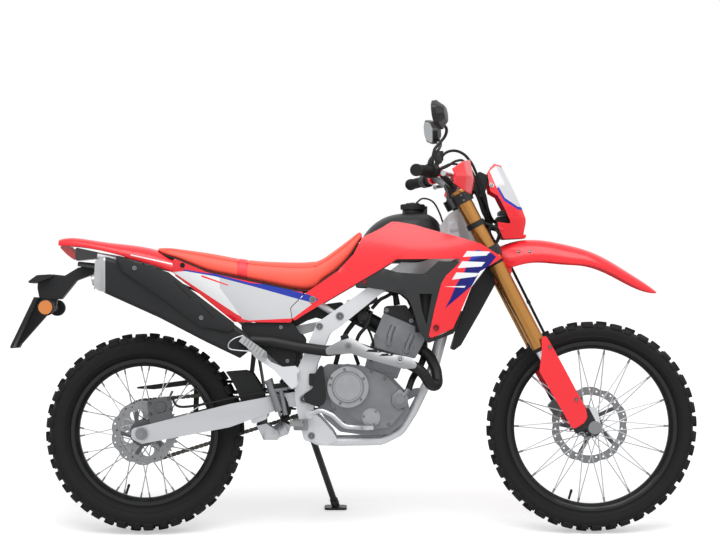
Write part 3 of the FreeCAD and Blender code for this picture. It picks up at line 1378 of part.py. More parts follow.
def side_stand():
    """The stand's leg and foot, at rest on the floor."""
    pivot = Vector(*STAND_PIVOT)
    foot = Vector(STAND_FOOT[0], STAND_FOOT[1], floor_height(STAND_FOOT[1]))
    floor_up = Vector(0, -math.sin(LEAN), math.cos(LEAN))
    flat = Vector(0, math.cos(LEAN), math.sin(LEAN))
    corners = []
    for dx, dy in ((-0.5, -0.5), (0.5, -0.5), (0.5, 0.5), (-0.5, 0.5)):
        corners.append(foot.add(Vector(dx * FOOT_LENGTH, 0, 0)).add(Vector(flat).multiply(dy * FOOT_WIDTH)))
    sole = Part.Face(closed_wire(corners, 12)).extrude(Vector(floor_up).multiply(FOOT_THICKNESS))
    ankle = foot.add(Vector(floor_up).multiply(FOOT_THICKNESS + 4))
    leg = rod(pivot.add(ankle.sub(pivot).normalize().multiply(6)), ankle, STAND_TUBE_RADIUS)
    collar = rod(ankle, ankle.add(pivot.sub(ankle).normalize().multiply(26)), STAND_TUBE_RADIUS + 3)
    knuckle = Part.makeCylinder(17, 18, pivot.sub(Vector(STAND_AXIS).multiply(9)), STAND_AXIS)
    ball = Part.makeSphere(STAND_TUBE_RADIUS + 2, ankle)
    stand = fused([leg, collar, knuckle, sole, ball])
    below = sole_keepout(foot, floor_up, flat)
    return stand.cut(below).cut(
        Part.makeCylinder(STAND_PIN_RADIUS + SEAT_GAP, 60,
                          pivot.sub(Vector(STAND_AXIS).multiply(30)), STAND_AXIS))


def sole_keepout(foot, floor_up, flat):
    """The space under the floor at the stand's foot."""
    size = 200
    corners = []
    for dx, dy in ((-1, -1), (1, -1), (1, 1), (-1, 1)):
        corners.append(foot.add(Vector(dx * size, 0, 0)).add(Vector(flat).multiply(dy * size)))
    return Part.Face(closed_wire(corners)).extrude(Vector(floor_up).multiply(-60))


def stand_lugs():
    """The lugs on the cradle that hold the side stand's pin."""
    pivot = Vector(*STAND_PIVOT)
    axis = Vector(STAND_AXIS)
    lug = Part.makeCylinder(15, 6, pivot.sub(Vector(axis).multiply(15.5)), axis)
    pin = Part.makeCylinder(STAND_PIN_RADIUS, 28, pivot.sub(Vector(axis).multiply(17)), axis)
    pieces = [lug, pin]
    inner = pivot.sub(Vector(axis).multiply(15.5))
    pieces.append(rod(inner, Vector(546, 98, 306), 10))
    return pieces


def axle_up():
    """The front axle's height along the steering axis."""
    offset = FRONT_AXLE.sub(Vector(STEERING_FOOT_X, 0, 0))
    return offset.dot(AXIS_UP)


SHROUDS = shrouds()
PANELS = side_panels()
SEAT = seat()
FRAME = main_frame(PANELS, SEAT)
CASE = crankcase(FRAME)
HEAD = cylinder_head(CASE)
FENDER = rear_fender(FRAME)
MUFFLER = silencer(FRAME)
PIPE = exhaust_pipe(HEAD, MUFFLER)
ARMS = swingarm()
DAMPER = rear_suspension(ARMS)
BARS = handlebar()
SLIDERS = fork_sliders()
LAMP = headlight()
CALIPER = front_caliper(SLIDERS)
REAR_HUB = hub_with_spokes(REAR_AXLE, REAR_FLANGE_Y, REAR_FLANGE_RADIUS, REAR_RIM_INNER_RADIUS,
                           SPOKE_PAIRS_REAR, REAR_DISC_Y)
PIECES = {
    "main_frame": FRAME,
    "swingarm": ARMS,
    "rear_suspension": DAMPER,
    "crankcase": CASE,
    "cylinder_head": HEAD,
    "exhaust_pipe": PIPE,
    "heat_shield": heat_shield(PIPE),
    "silencer": MUFFLER,
    "fuel_tank": fuel_tank(FRAME, SHROUDS),
    "radiator": radiator(FRAME),
    "shrouds": SHROUDS,
    "tank_covers": tank_covers(),
    "seat": SEAT,
    "side_panels": PANELS,
    "tail_cowl": tail_cowl(SEAT),
    "tail_light": tail_light(FRAME),
    "rear_fender": FENDER,
    "air_box": air_box([FRAME, HEAD, DAMPER]),
    "plate_bracket": plate_bracket(FENDER),
    "rear_indicators": rear_indicators(),
    "drive_chain": drive_chain(),
    "foot_pegs": foot_pegs(FRAME),
    "foot_levers": foot_levers(FRAME),
    "rear_caliper": rear_caliper(),
    "triple_clamps": triple_clamps(),
    "fork_tubes": fork_tubes(),
    "fork_sliders": SLIDERS,
    "fork_guards": fork_guards(SLIDERS),
    "front_fender": front_fender(),
    "headlight_mask": headlight_mask(),
    "headlight": LAMP,
    "handlebar": BARS,
    "mirrors": mirrors(BARS),
    "hand_guards": hand_guards(BARS),
    "front_caliper": CALIPER,
    "control_cables": control_cables(BARS, LAMP, CALIPER),
    "side_stand": side_stand(),
    "front_tyre": tyre(FRONT_AXLE, FRONT_TYRE_RADIUS, FRONT_TYRE_HALF_WIDTH, FRONT_BEAD_RADIUS,
                       FRONT_RIM_HALF_WIDTH),
    "front_rim": rim(FRONT_AXLE, FRONT_BEAD_RADIUS, FRONT_RIM_INNER_RADIUS, FRONT_RIM_HALF_WIDTH),
    "front_hub": hub_with_spokes(FRONT_AXLE, FRONT_FLANGE_Y, FRONT_FLANGE_RADIUS,
                                 FRONT_RIM_INNER_RADIUS, SPOKE_PAIRS_FRONT, FRONT_DISC_Y),
    "front_disc": brake_disc(FRONT_AXLE, FRONT_DISC_RADIUS, FRONT_DISC_Y, 30, 18),
    "rear_tyre": tyre(REAR_AXLE, REAR_TYRE_RADIUS, REAR_TYRE_HALF_WIDTH, REAR_BEAD_RADIUS,
                      REAR_RIM_HALF_WIDTH),
    "rear_rim": rim(REAR_AXLE, REAR_BEAD_RADIUS, REAR_RIM_INNER_RADIUS, REAR_RIM_HALF_WIDTH),
    "rear_hub": REAR_HUB.fuse(sprocket_carrier()),
    "rear_disc": brake_disc(REAR_AXLE, REAR_DISC_RADIUS, REAR_DISC_Y, 30, 18),
}

os.makedirs("parts", exist_ok=True)
for name, shape in PIECES.items():
    if not shape.isValid() or not shape.Solids:
        print("not sound:", name, shape.isValid(), len(shape.Solids))
    place(shape).exportStep("parts/%s.step" % name)

whole = Part.makeCompound([place(shape) for shape in PIECES.values()])
print(whole.BoundBox)
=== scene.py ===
"""The looks of a dual sport motorcycle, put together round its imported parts. New pieces are shaped in
millimetres on the upright machine: X forward from the rear axle, Y to the rider's left, Z up."""
import bmesh
import bpy
import json
import math
from mathutils import Matrix, Vector
from mathutils.bvhtree import BVHTree

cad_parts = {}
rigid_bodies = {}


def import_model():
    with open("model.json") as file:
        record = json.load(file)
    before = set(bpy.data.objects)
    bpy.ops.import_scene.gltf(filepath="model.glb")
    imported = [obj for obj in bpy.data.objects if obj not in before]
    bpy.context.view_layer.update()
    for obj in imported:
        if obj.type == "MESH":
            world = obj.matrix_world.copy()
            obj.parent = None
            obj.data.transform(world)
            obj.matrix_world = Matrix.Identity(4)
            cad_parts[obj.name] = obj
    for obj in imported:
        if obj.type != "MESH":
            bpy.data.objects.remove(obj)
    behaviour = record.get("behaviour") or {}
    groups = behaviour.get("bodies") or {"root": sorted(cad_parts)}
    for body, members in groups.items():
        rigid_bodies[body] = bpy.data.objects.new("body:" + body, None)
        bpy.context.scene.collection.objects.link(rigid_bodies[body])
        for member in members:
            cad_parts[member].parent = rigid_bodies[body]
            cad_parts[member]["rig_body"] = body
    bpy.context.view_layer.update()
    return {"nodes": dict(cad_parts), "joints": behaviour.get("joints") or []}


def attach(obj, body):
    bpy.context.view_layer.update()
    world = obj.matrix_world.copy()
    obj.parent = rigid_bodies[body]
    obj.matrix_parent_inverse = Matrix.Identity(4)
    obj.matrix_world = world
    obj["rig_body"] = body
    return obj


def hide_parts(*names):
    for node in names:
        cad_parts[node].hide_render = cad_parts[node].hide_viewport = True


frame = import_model()
nodes = frame["nodes"]

# The machine is parked: it leans to its left, onto the side stand. The rear wheel's axle tells how far,
# and a piece that is shaped upright takes its place by the matrix made from it.
REAR_AXLE = Vector((0, 0, 325))
FRONT_AXLE = Vector((1465, 0, 344.2))
joints = {joint["name"]: joint for joint in frame["joints"]}
spin_axis = Vector(joints["rear_wheel_spin"]["axis"])
lean = Matrix.Rotation(math.atan2(spin_axis.z, spin_axis.y), 4, "X")
millimetres = lean @ Matrix.Scale(0.001, 4)
axle_place = Vector(joints["rear_wheel_spin"]["pos_m"])
parked = Matrix.Translation(axle_place - millimetres @ REAR_AXLE) @ millimetres

# Tyres: knobbly rubber on both wheels. A moulded casing with a rib round its sidewall carries a middle row
# of paired knobs and staggered rows on its shoulders; the rubber is dull, near black and finely pitted.
LUG_PITCHES = 22
LUG_HEIGHT = 12


def linear(colour):
    """An sRGB hex colour as linear red, green, blue and alpha."""
    parts = [int(colour[i:i + 2], 16) / 255 for i in (1, 3, 5)]
    return [c / 12.92 if c <= 0.04045 else ((c + 0.055) / 1.055) ** 2.4 for c in parts] + [1.0]


def add(tree, kind, inputs=None, **settings):
    """A new node in a material, with its settings, and its inputs set to values or linked to sockets."""
    node = tree.nodes.new(kind)
    for name, value in settings.items():
        setattr(node, name, value)
    for socket, value in (inputs or {}).items():
        if isinstance(value, bpy.types.NodeSocket):
            tree.links.new(value, node.inputs[socket])
        else:
            node.inputs[socket].default_value = value
    return node


def finish(name, colour, roughness, grain=None, height=0.0, mottle=0.0, stretch=(1, 1, 1), **values):
    """A material: its colour and roughness, a grain of that size and height in millimetres, stretched where
    it is brushed, and a broad mottle that varies both by its share. A grain finer than about a millimetre
    would not show, so it is drawn as coarse as it needs to."""
    material = bpy.data.materials.new(name)
    material.use_nodes = True
    tree = material.node_tree
    shader = tree.nodes["Principled BSDF"]
    shader.inputs["Base Color"].default_value = linear(colour)
    shader.inputs["Roughness"].default_value = roughness
    for socket, value in values.items():
        shader.inputs[socket.replace("_", " ")].default_value = value
    place = add(tree, "ShaderNodeTexCoord").outputs["Object"]
    place = add(tree, "ShaderNodeMapping", {"Vector": place, "Scale": stretch}).outputs["Vector"]
    cloud = add(tree, "ShaderNodeTexNoise", {"Vector": place, "Scale": 25.0, "Detail": 4.0}).outputs["Fac"]
    uneven = max(mottle, 0.03)
    rough = add(tree, "ShaderNodeMapRange", {"Value": cloud, "To Min": roughness * (1 - 2 * uneven),
                                             "To Max": roughness * (1 + 2 * uneven)})
    tree.links.new(rough.outputs["Result"], shader.inputs["Roughness"])
    if mottle:
        value = add(tree, "ShaderNodeMapRange", {"Value": cloud, "To Min": 1 - 2 * mottle,
                                                 "To Max": 1 + 2 * mottle})
        tint = add(tree, "ShaderNodeHueSaturation", {"Value": value.outputs["Result"],
                                                     "Color": linear(colour)})
        tree.links.new(tint.outputs["Color"], shader.inputs["Base Color"])
    if grain:
        noise = add(tree, "ShaderNodeTexNoise", {"Vector": place, "Scale": 1000 / grain, "Detail": 3.0})
        bump = add(tree, "ShaderNodeBump", {"Height": noise.outputs["Fac"], "Distance": height / 1000})
        tree.links.new(bump.outputs["Normal"], shader.inputs["Normal"])
    return material


def make(name, bm, materials, body, replaces=(), smooth=35, closed=True):
    """A finished piece from a bmesh: leaned with the machine, on its body, with its materials."""
    if closed:
        bmesh.ops.recalc_face_normals(bm, faces=bm.faces)
    bmesh.ops.transform(bm, matrix=parked, verts=bm.verts)
    mesh = bpy.data.meshes.new(name)
    bm.to_mesh(mesh)
    bm.free()
    for material in materials:
        mesh.materials.append(material)
    mesh.polygons.foreach_set("use_smooth", [True] * len(mesh.polygons))
    mesh.set_sharp_from_angle(angle=math.radians(smooth))
    piece = bpy.data.objects.new(name, mesh)
    bpy.context.scene.collection.objects.link(piece)
    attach(piece, body)
    if replaces:
        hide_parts(*replaces)
    return piece


def ring(bm, axle, profile, steps, index=0):
    """Turns a closed (y, radius) outline right round an axle."""
    before = set(bm.faces)
    corners = [bm.verts.new((axle.x, axle.y + y, axle.z - radius)) for y, radius in profile]
    edges = [bm.edges.new(pair) for pair in zip(corners, corners[1:] + corners[:1])]
    bmesh.ops.spin(bm, geom=corners + edges, cent=axle, axis=(0, 1, 0), angle=2 * math.pi,
                   steps=steps, use_merge=True)
    for face in [f for f in bm.faces if f not in before]:
        face.material_index = index


def knobs(bm, axle, profile, start, share):
    """A row of knobs: a (y, radius) outline swept over its share of a pitch, repeated round the tyre."""
    sweep = 2 * math.pi / LUG_PITCHES * share
    before = set(bm.faces)
    face = bm.faces.new([bm.verts.new((axle.x, y, axle.z - radius)) for y, radius in profile])
    turn = Matrix.Rotation(-2 * math.pi / LUG_PITCHES * start + sweep / 2, 4, "Y")
    bmesh.ops.transform(bm, matrix=turn, verts=face.verts, space=Matrix.Translation(-axle))
    geometry = [face] + list(face.edges) + list(face.verts)
    bmesh.ops.spin(bm, geom=geometry, cent=axle, axis=(0, 1, 0), angle=sweep, steps=2)
    fresh = [f for f in bm.faces if f not in before]
    bmesh.ops.holes_fill(bm, edges=list({e for f in fresh for e in f.edges if e.is_boundary}), sides=0)
    fresh = [f for f in bm.faces if f not in before]
    bmesh.ops.recalc_face_normals(bm, faces=fresh)
    sharp = list({e for f in fresh for e in f.edges if e.is_manifold and e.calc_face_angle() > 0.6})
    bmesh.ops.bevel(bm, geom=sharp, affect="EDGES", offset=1.5, segments=1, profile=0.5, material=-1)
    fresh = [f for f in bm.faces if f not in before]
    geometry = fresh + list({e for f in fresh for e in f.edges}) + list({v for f in fresh for v in f.verts})
    bmesh.ops.spin(bm, geom=geometry, cent=axle, axis=(0, 1, 0), use_duplicate=True,
                   angle=2 * math.pi * (LUG_PITCHES - 1) / LUG_PITCHES, steps=LUG_PITCHES - 1)


def tyre(name, axle, radius, half, bead, rim_half, body):
    """One tyre, from its radius and half width, and its bead's radius and half width on the rim: the casing
    between the rim's flanges, with a rib round its sidewall, and the knobs."""
    seat, flange = rim_half - 3.3, bead + 12.3
    wall, drop = radius - flange, 0.2 * half
    side = [
        (seat, bead + 3.3), (seat, flange), (0.60 * half, flange + 0.04 * wall),
        (0.80 * half, flange + 0.14 * wall), (0.86 * half, flange + 0.20 * wall),
        (0.895 * half, flange + 0.22 * wall), (0.905 * half, flange + 0.25 * wall),
        (0.89 * half, flange + 0.27 * wall), (0.94 * half, flange + 0.38 * wall),
        (0.96 * half, flange + 0.50 * wall), (0.94 * half, flange + 0.62 * wall),
        (0.90 * half, radius - drop - LUG_HEIGHT), (0.72 * half, radius - 0.55 * drop - LUG_HEIGHT),
        (0.50 * half, radius - 0.25 * drop - LUG_HEIGHT), (0.25 * half, radius - LUG_HEIGHT),
    ]
    bm = bmesh.new()
    ring(bm, axle, side + [(-y, r) for y, r in reversed(side)], 4 * LUG_PITCHES)
    root = radius - LUG_HEIGHT - 3
    middle = [(0.03, radius), (0.29, radius), (0.30, root), (0.02, root)]
    shoulder = [
        (0.46, radius - 0.18 * drop), (0.62, radius - 0.38 * drop), (0.93, radius - drop),
        (0.995, radius - drop - 0.16 * wall), (0.84, radius - drop - 0.24 * wall), (0.44, root - 3),
    ]
    outer = [
        (0.80, radius - 0.8 * drop), (0.91, radius - 1.1 * drop),
        (0.985, radius - drop - 0.20 * wall), (0.84, radius - drop - 0.26 * wall),
    ]
    for hand in (1, -1):
        for profile, start, share in ((middle, 0, 0.34), (shoulder, 0.5, 0.35), (outer, 0, 0.26)):
            knobs(bm, axle, [(hand * y * half, r) for y, r in profile], start, share)
    make(name + "_tread", bm, [tyre_rubber], body, [name])


tyre_rubber = finish("Tyre rubber, moulded", "#0E0E0F", 0.72, grain=2.5, height=0.15,
                     Specular_IOR_Level=0.3)
tyre("front_tyre", FRONT_AXLE, 345, 44, 267, 23, "front_wheel")
tyre("rear_tyre", REAR_AXLE, 325, 60, 229, 32, "rear_wheel")

# Rims, hubs and spokes: black anodised aluminium rims are laced to black cast hubs with crossed stainless
# spokes. Each spoke ends in a plated nipple, and each rim has a rubber valve with a cap.
SPOKE_PAIR = math.radians(8)
SPOKE_REACH = math.radians(52)
VALVE_TURN = 0.3
CHAIN_WHEEL_Y = 79


def bar_between(bm, start, end, radius, segments=8, tip=1.0, index=0):
    """A closed round rod between two points; tip is its end's share of the radius."""
    start, end = Vector(start), Vector(end)
    turn = (end - start).to_track_quat("Z", "Y").to_matrix().to_4x4()
    place = Matrix.Translation((start + end) / 2) @ turn
    made = bmesh.ops.create_cone(bm, cap_ends=True, segments=segments, radius1=radius,
                                 radius2=radius * tip, depth=(end - start).length, matrix=place)
    for face in {f for v in made["verts"] for f in v.link_faces}:
        face.material_index = index
    return made["verts"]


def turned(bm, base, way, steps, index=0):
    """Round steps along a line from a base: each is (start, end, radius, segments) and may have a taper."""
    for start, end, radius, segments, *tip in steps:
        bar_between(bm, base + way * start, base + way * end, radius, segments, *tip, index=index)


def on_wheel(axle, angle, radius, y):
    """A point of a wheel by its angle from straight down, its radius and its side."""
    return Vector((axle.x - radius * math.sin(angle), y, axle.z - radius * math.cos(angle)))


def wheel_fittings(wheel, axle, flange_y, flange_radius, rim_inner, pairs):
    """The nipples at the spokes' ends and the tyre's valve."""
    bm = bmesh.new()
    for side in (-1, 1):
        for pair in range(pairs):
            base = 2 * math.pi * (pair + 0.25 * side) / pairs
            for hand in (-1, 1):
                angle = base + hand * SPOKE_PAIR
                head = on_wheel(axle, angle, flange_radius - 4.5, side * (flange_y + hand * 2.3))
                end = on_wheel(axle, angle + hand * SPOKE_REACH, rim_inner - 0.8, side * 7)
                along = (end - head).normalized()
                turned(bm, end, along, [(-15, 0, 3.0, 6)])
                turned(bm, head, along, [(-3, 5, 3.4, 6)])
    valve = on_wheel(axle, VALVE_TURN, rim_inner, 0)
    turned(bm, valve, (axle - valve).normalized(), [(2, 26, 4, 10), (26, 36, 5, 10, 0.8)], 1)
    make(wheel + "_wheel_fittings", bm, [plated_steel, black_rubber], wheel + "_wheel")


def inside(point, corners):
    """Whether a point lies in an outline, seen from the side."""
    crossings = 0
    for here, there in zip(corners, corners[1:] + corners[:1]):
        if (here.z > point.z) != (there.z > point.z):
            at = here.x + (there.x - here.x) * (point.z - here.z) / (there.z - here.z)
            crossings += at > point.x
    return crossings % 2 == 1


def circle(x, z, radius, count=24):
    """An (x, z) outline of a circle."""
    turns = [2 * math.pi * i / count for i in range(count)]
    return [(x + radius * math.cos(t), z + radius * math.sin(t)) for t in turns]


def upright(node):
    """A CAD node's mesh on the upright machine, with its doubles merged."""
    bm = bmesh.new()
    bm.from_mesh(nodes[node].data)
    bmesh.ops.transform(bm, matrix=parked.inverted(), verts=bm.verts)
    bmesh.ops.remove_doubles(bm, verts=bm.verts, dist=0.02)
    return bm


def dressed(node, materials, regions=(), edge=0.0, smooth=35):
    """A CAD node's copy in its finishes, with its edges eased: the first finish all over, and others in
    regions. A region is the finish's number, an (x, z) outline as seen from the side, and its least and
    greatest y, which may be left out."""
    bm = upright(node)
    for index, outline, *reach in regions:
        low, high = reach or (-500, 500)
        corners = [Vector((x, 0, z)) for x, z in outline]
        for here, there in zip(corners, corners[1:] + corners[:1]):
            left, right = sorted((here.x, there.x))
            under, over = sorted((here.z, there.z))
            near = [f for f in bm.faces
                    if max(v.co.y for v in f.verts) >= low and min(v.co.y for v in f.verts) <= high
                    and max(v.co.x for v in f.verts) >= left and min(v.co.x for v in f.verts) <= right
                    and max(v.co.z for v in f.verts) >= under and min(v.co.z for v in f.verts) <= over]
            near += list({e for f in near for e in f.edges}) + list({v for f in near for v in f.verts})
            across = Vector((there.z - here.z, 0, here.x - there.x)).normalized()
            bmesh.ops.bisect_plane(bm, geom=near, dist=0.001, plane_co=here, plane_no=across)
        bmesh.ops.triangulate(bm, faces=[f for f in bm.faces if len(f.verts) > 4])
        for face in bm.faces:
            middle = face.calc_center_median()
            if low <= middle.y <= high and inside(middle, corners):
                face.material_index = index
    bmesh.ops.dissolve_limit(bm, angle_limit=math.radians(0.3), verts=bm.verts, edges=bm.edges,
                             delimit={"MATERIAL"})
    bm.normal_update()
    piece = make(node + "_dressed", bm, materials, nodes[node]["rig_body"], [node], smooth,
                 closed=False)
    if edge:
        ease = piece.modifiers.new("Eased edges", "BEVEL")
        ease.width = edge / 1000
        ease.segments = 2
        ease.limit_method = "ANGLE"
        ease.angle_limit = math.radians(40)
        ease.harden_normals = True


# Plated steel is mid grey with a soft shine, and spoke wire is brighter; anodised rims are near black with a
# satin sheen, and the hubs' enamel is a little paler and faintly uneven.
plated_steel = finish("Zinc-plated steel", "#8B8D8F", 0.32, Metallic=1.0)
black_rubber = finish("Black rubber", "#0E0E0F", 0.55, Specular_IOR_Level=0.3)
spoke_steel = finish("Stainless spoke steel", "#BFC1C4", 0.3, Metallic=0.9)
rim_anodised = finish("Black anodised aluminium", "#151617", 0.34, mottle=0.03, Metallic=0.2)
hub_black = finish("Black hub enamel", "#1F2022", 0.38, grain=3, height=0.03, mottle=0.05, Metallic=0.3)
for wheel, axle, flange_y, flange_radius, rim_inner, pairs, hub_radius in (
        ("front", FRONT_AXLE, 30, 31, 254, 9, 34), ("rear", REAR_AXLE, 38, 40, 216, 8, 44)):
    wheel_fittings(wheel, axle, flange_y, flange_radius, rim_inner, pairs)
    dressed(wheel + "_rim", [rim_anodised])
    dressed(wheel + "_hub", [spoke_steel, hub_black],
            [(1, circle(axle.x, axle.z, hub_radius), -99, CHAIN_WHEEL_Y)])

# Brakes: ground stainless discs with dark aluminium carriers, bolted to the hubs, and cast calipers with
# pins and a bleed screw. The rubbed band is brighter than the rest, with fine marks round the axle.
LEFT = Vector((0, 1, 0))
CALIPER_FACE_Y = -96
PISTON_COVER = Vector((58, CALIPER_FACE_Y, 410))


def bolt(bm, place, direction, radius, index=0):
    """A socket-headed bolt that stands on a place and faces along a direction."""
    place, direction = Vector(place), Vector(direction).normalized()
    height = radius * 0.8
    made = bar_between(bm, place - direction * 0.5, place + direction * height, radius, 12, 0.92, index)
    top = max({f for v in made for f in v.link_faces},
              key=lambda f: f.calc_center_median().dot(direction))
    bmesh.ops.inset_region(bm, faces=[top], thickness=radius * 0.42)
    bmesh.ops.translate(bm, verts=top.verts, vec=-direction * height * 0.6)


# Ground steel shines softly with fine marks; its carrier is darker and smooth, and castings are dull.
ground_steel = finish("Ground stainless steel", "#8D8E90", 0.34, grain=2, height=0.02, mottle=0.05,
                      Metallic=0.9)
carrier_alloy = finish("Dark anodised aluminium", "#5A5B5E", 0.4, Metallic=0.8)
caliper_casting = finish("Caliper casting", "#5E6062", 0.45, Metallic=0.7, grain=1.5, height=0.05)
for wheel, axle, carrier, bolt_circle, face_y in (
        ("front", FRONT_AXLE, 96, 22, 64), ("rear", REAR_AXLE, 74, 24, -74)):
    dressed(wheel + "_disc", [ground_steel, carrier_alloy], [(1, circle(axle.x, axle.z, carrier))])
    bm = bmesh.new()
    for turn in range(5):
        bolt(bm, on_wheel(axle, 2 * math.pi * turn / 5, bolt_circle, face_y), (0, face_y, 0), 4.5)
    make(wheel + "_disc_bolts", bm, [plated_steel], wheel + "_wheel")
    dressed(wheel + "_caliper", [caliper_casting], edge=1.5)
bm = bmesh.new()
for x, z in ((26, 388), (92, 402), (24, 422), (84, 438)):
    bolt(bm, (x, CALIPER_FACE_Y, z), (0, -1, 0), 5)
turned(bm, PISTON_COVER, LEFT, [(1, -6, 19, 32, 0.9), (-5, -7.5, 11, 24, 0.8)])
bar_between(bm, (88, -84, 446), (96, -84, 462), 4, 10)
make("rear_caliper_pins", bm, [caliper_casting], "chassis")

# Drive chain: pressed steel plates on pins and rollers, with a brownish film of oil that dulls the steel.
# Outer and inner links take turns; the tangent points come from the pitch radii of both chain wheels.
CHAIN_PITCH = 15.875
COUNTERSHAFT = Vector((598, 0, 444))
CHAIN_Y = 84
PLATE = 1.9
PLATE_SHAPE = [(-0.42, 0.28), (-0.28, 0.43), (0.0, 0.40), (0.5, 0.30), (1.0, 0.40), (1.28, 0.43),
               (1.42, 0.28)]
rear_pitch, front_pitch = [CHAIN_PITCH / (2 * math.sin(math.pi / teeth)) for teeth in (40, 14)]
chain_line = COUNTERSHAFT - REAR_AXLE
slope = math.atan2(chain_line.z, chain_line.x)
spread = math.acos((rear_pitch - front_pitch) / chain_line.length)
run = chain_line.length * math.sin(spread)
front_arc = 2 * spread * front_pitch
loop = 2 * run + front_arc + 2 * (math.pi - spread) * rear_pitch


def chain_place(distance):
    """A point on the chain's pin line, by its distance from where the upper run leaves the rear wheel."""
    distance = distance % loop
    if distance < run or run + front_arc <= distance < 2 * run + front_arc:
        top = distance < run
        turn = slope + spread if top else slope - spread
        share = distance / run if top else (2 * run + front_arc - distance) / run
        middle = REAR_AXLE.lerp(COUNTERSHAFT, share)
        radius = rear_pitch + (front_pitch - rear_pitch) * share
    elif distance < run + front_arc:
        middle, radius = COUNTERSHAFT, front_pitch
        turn = slope + spread - (distance - run) / front_pitch
    else:
        middle, radius = REAR_AXLE, rear_pitch
        turn = slope - spread - (distance - 2 * run - front_arc) / rear_pitch
    return middle + Vector((radius * math.cos(turn), CHAIN_Y, radius * math.sin(turn)))


def link_outline(here, there):
    """The waisted outline of a link's plate round two pins."""
    along = (there - here).normalized()
    up = along.cross(LEFT)
    places = [here + (along * a + up * b) * CHAIN_PITCH
              for a, b in PLATE_SHAPE + [(a, -b) for a, b in reversed(PLATE_SHAPE)]]
    return [(place.x, place.z) for place in places]


def slab(bm, outline, low, high, index=0, ease=0.0):
    """A flat piece across the machine: its (x, z) outline between two values of y."""
    before = set(bm.faces)
    face = bm.faces.new([bm.verts.new((x, low, z)) for x, z in outline])
    made = bmesh.ops.extrude_face_region(bm, geom=[face])["geom"]
    bmesh.ops.translate(bm, verts=[g for g in made if isinstance(g, bmesh.types.BMVert)],
                        vec=(0, high - low, 0))
    fresh = [f for f in bm.faces if f not in before]
    bmesh.ops.recalc_face_normals(bm, faces=fresh)
    for face in fresh:
        face.material_index = index
    if ease:
        edges = list({e for f in fresh for e in f.edges if e.calc_face_angle(0) > 0.5})
        bmesh.ops.bevel(bm, geom=edges, affect="EDGES", offset=ease, segments=2, profile=0.5, material=-1)


links = 2 * round(loop / CHAIN_PITCH / 2)
bm = bmesh.new()
for link in range(links):
    here, there = chain_place(link * loop / links), chain_place((link + 1) * loop / links)
    gap = 6.4 if link % 2 else 4.0
    for y in (CHAIN_Y + gap, CHAIN_Y - gap - PLATE):
        slab(bm, link_outline(here, there), y, y + PLATE)
    turned(bm, here, LEFT, [(-9, 9, 2.5, 6), (-3.6, 3.6, 5.0, 8)])
oiled_steel = finish("Oiled chain steel", "#56534E", 0.38, Metallic=0.9)
make("drive_chain_links", bm, [oiled_steel], "chassis", ["drive_chain"])

# Frame: welded steel box spars with a cast headstock, a single down tube, cradle and seat tubes, all in
# silver-grey enamel. Plated bolts hold the engine and the swingarm's pivot, and rubber tops the stubs.
BUMPERS = ((200, 836), (350, 800), (500, 766))
surface_trees = {}


def surface(node, x, z, side):
    """Where a line from one side of the machine meets a CAD node, and which way the surface faces."""
    if node not in surface_trees:
        back = parked.inverted()
        mesh = nodes[node].data
        surface_trees[node] = BVHTree.FromPolygons([back @ v.co for v in mesh.vertices],
                                                   [p.vertices for p in mesh.polygons])
    place, normal = surface_trees[node].ray_cast(Vector((x, side * 600, z)), Vector((0, -side, 0)))[:2]
    return place, normal * (1 if normal.y * side > 0 else -1)


def bolts(name, node, spots, material=plated_steel, sides=(-1, 1), washer=0.0):
    """Bolts that stand on a CAD node's outer faces, at (x, z, radius) as seen from the side. Washer is its
    radius as a share of the bolt's."""
    bm = bmesh.new()
    for side in sides:
        for x, z, radius in spots:
            place, normal = surface(node, x, z, side)
            if washer:
                bar_between(bm, place - normal, place + normal * 1.6, radius * washer, 20)
            bolt(bm, place + normal * (1.2 if washer else 0), normal, radius)
    make(name, bm, [material], nodes[node]["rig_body"])


# Enamel on the frame is pale and glossy over slightly uneven castings; moulded plastic is dull and grained.
frame_enamel = finish("Silver-grey enamel", "#D4D6D9", 0.34, grain=8, height=0.05, mottle=0.02,
                      Metallic=0.25, Coat_Weight=0.3, Coat_Roughness=0.15)
black_plastic = finish("Black polypropylene", "#161719", 0.5, grain=0.9, height=0.06, mottle=0.08,
                       Specular_IOR_Level=0.35)
bumper_tops = [(1, [(x - 12, z + 22), (x + 12, z + 22), (x + 12, z + 42), (x - 12, z + 42)], -99, 99)
               for x, z in BUMPERS]
dressed("main_frame", [frame_enamel, black_rubber], bumper_tops, edge=0.8)
bolts("frame_bolts", "main_frame", [(548, 318, 8), (640, 705, 9), (574, 672, 8), (524, 437, 10)],
      washer=1.5)
bm = bmesh.new()
for side in (-1, 1):
    boss_y = surface("main_frame", 1010, 996, side)[0].y
    slab(bm, [(994, 1012), (1024, 1018), (1030, 984), (1000, 978)],
         *sorted((boss_y - side * 6, boss_y + side * 2.5)), ease=1.5)
    for rib in range(3):
        z = 988 + 8 * rib
        slab(bm, [(1003 - rib, z), (1024 - rib, z + 4), (1023 - rib, z + 8), (1002 - rib, z + 4)],
             *sorted((boss_y, boss_y + side * 4)))
make("headstock_bosses", bm, [frame_enamel], "chassis")

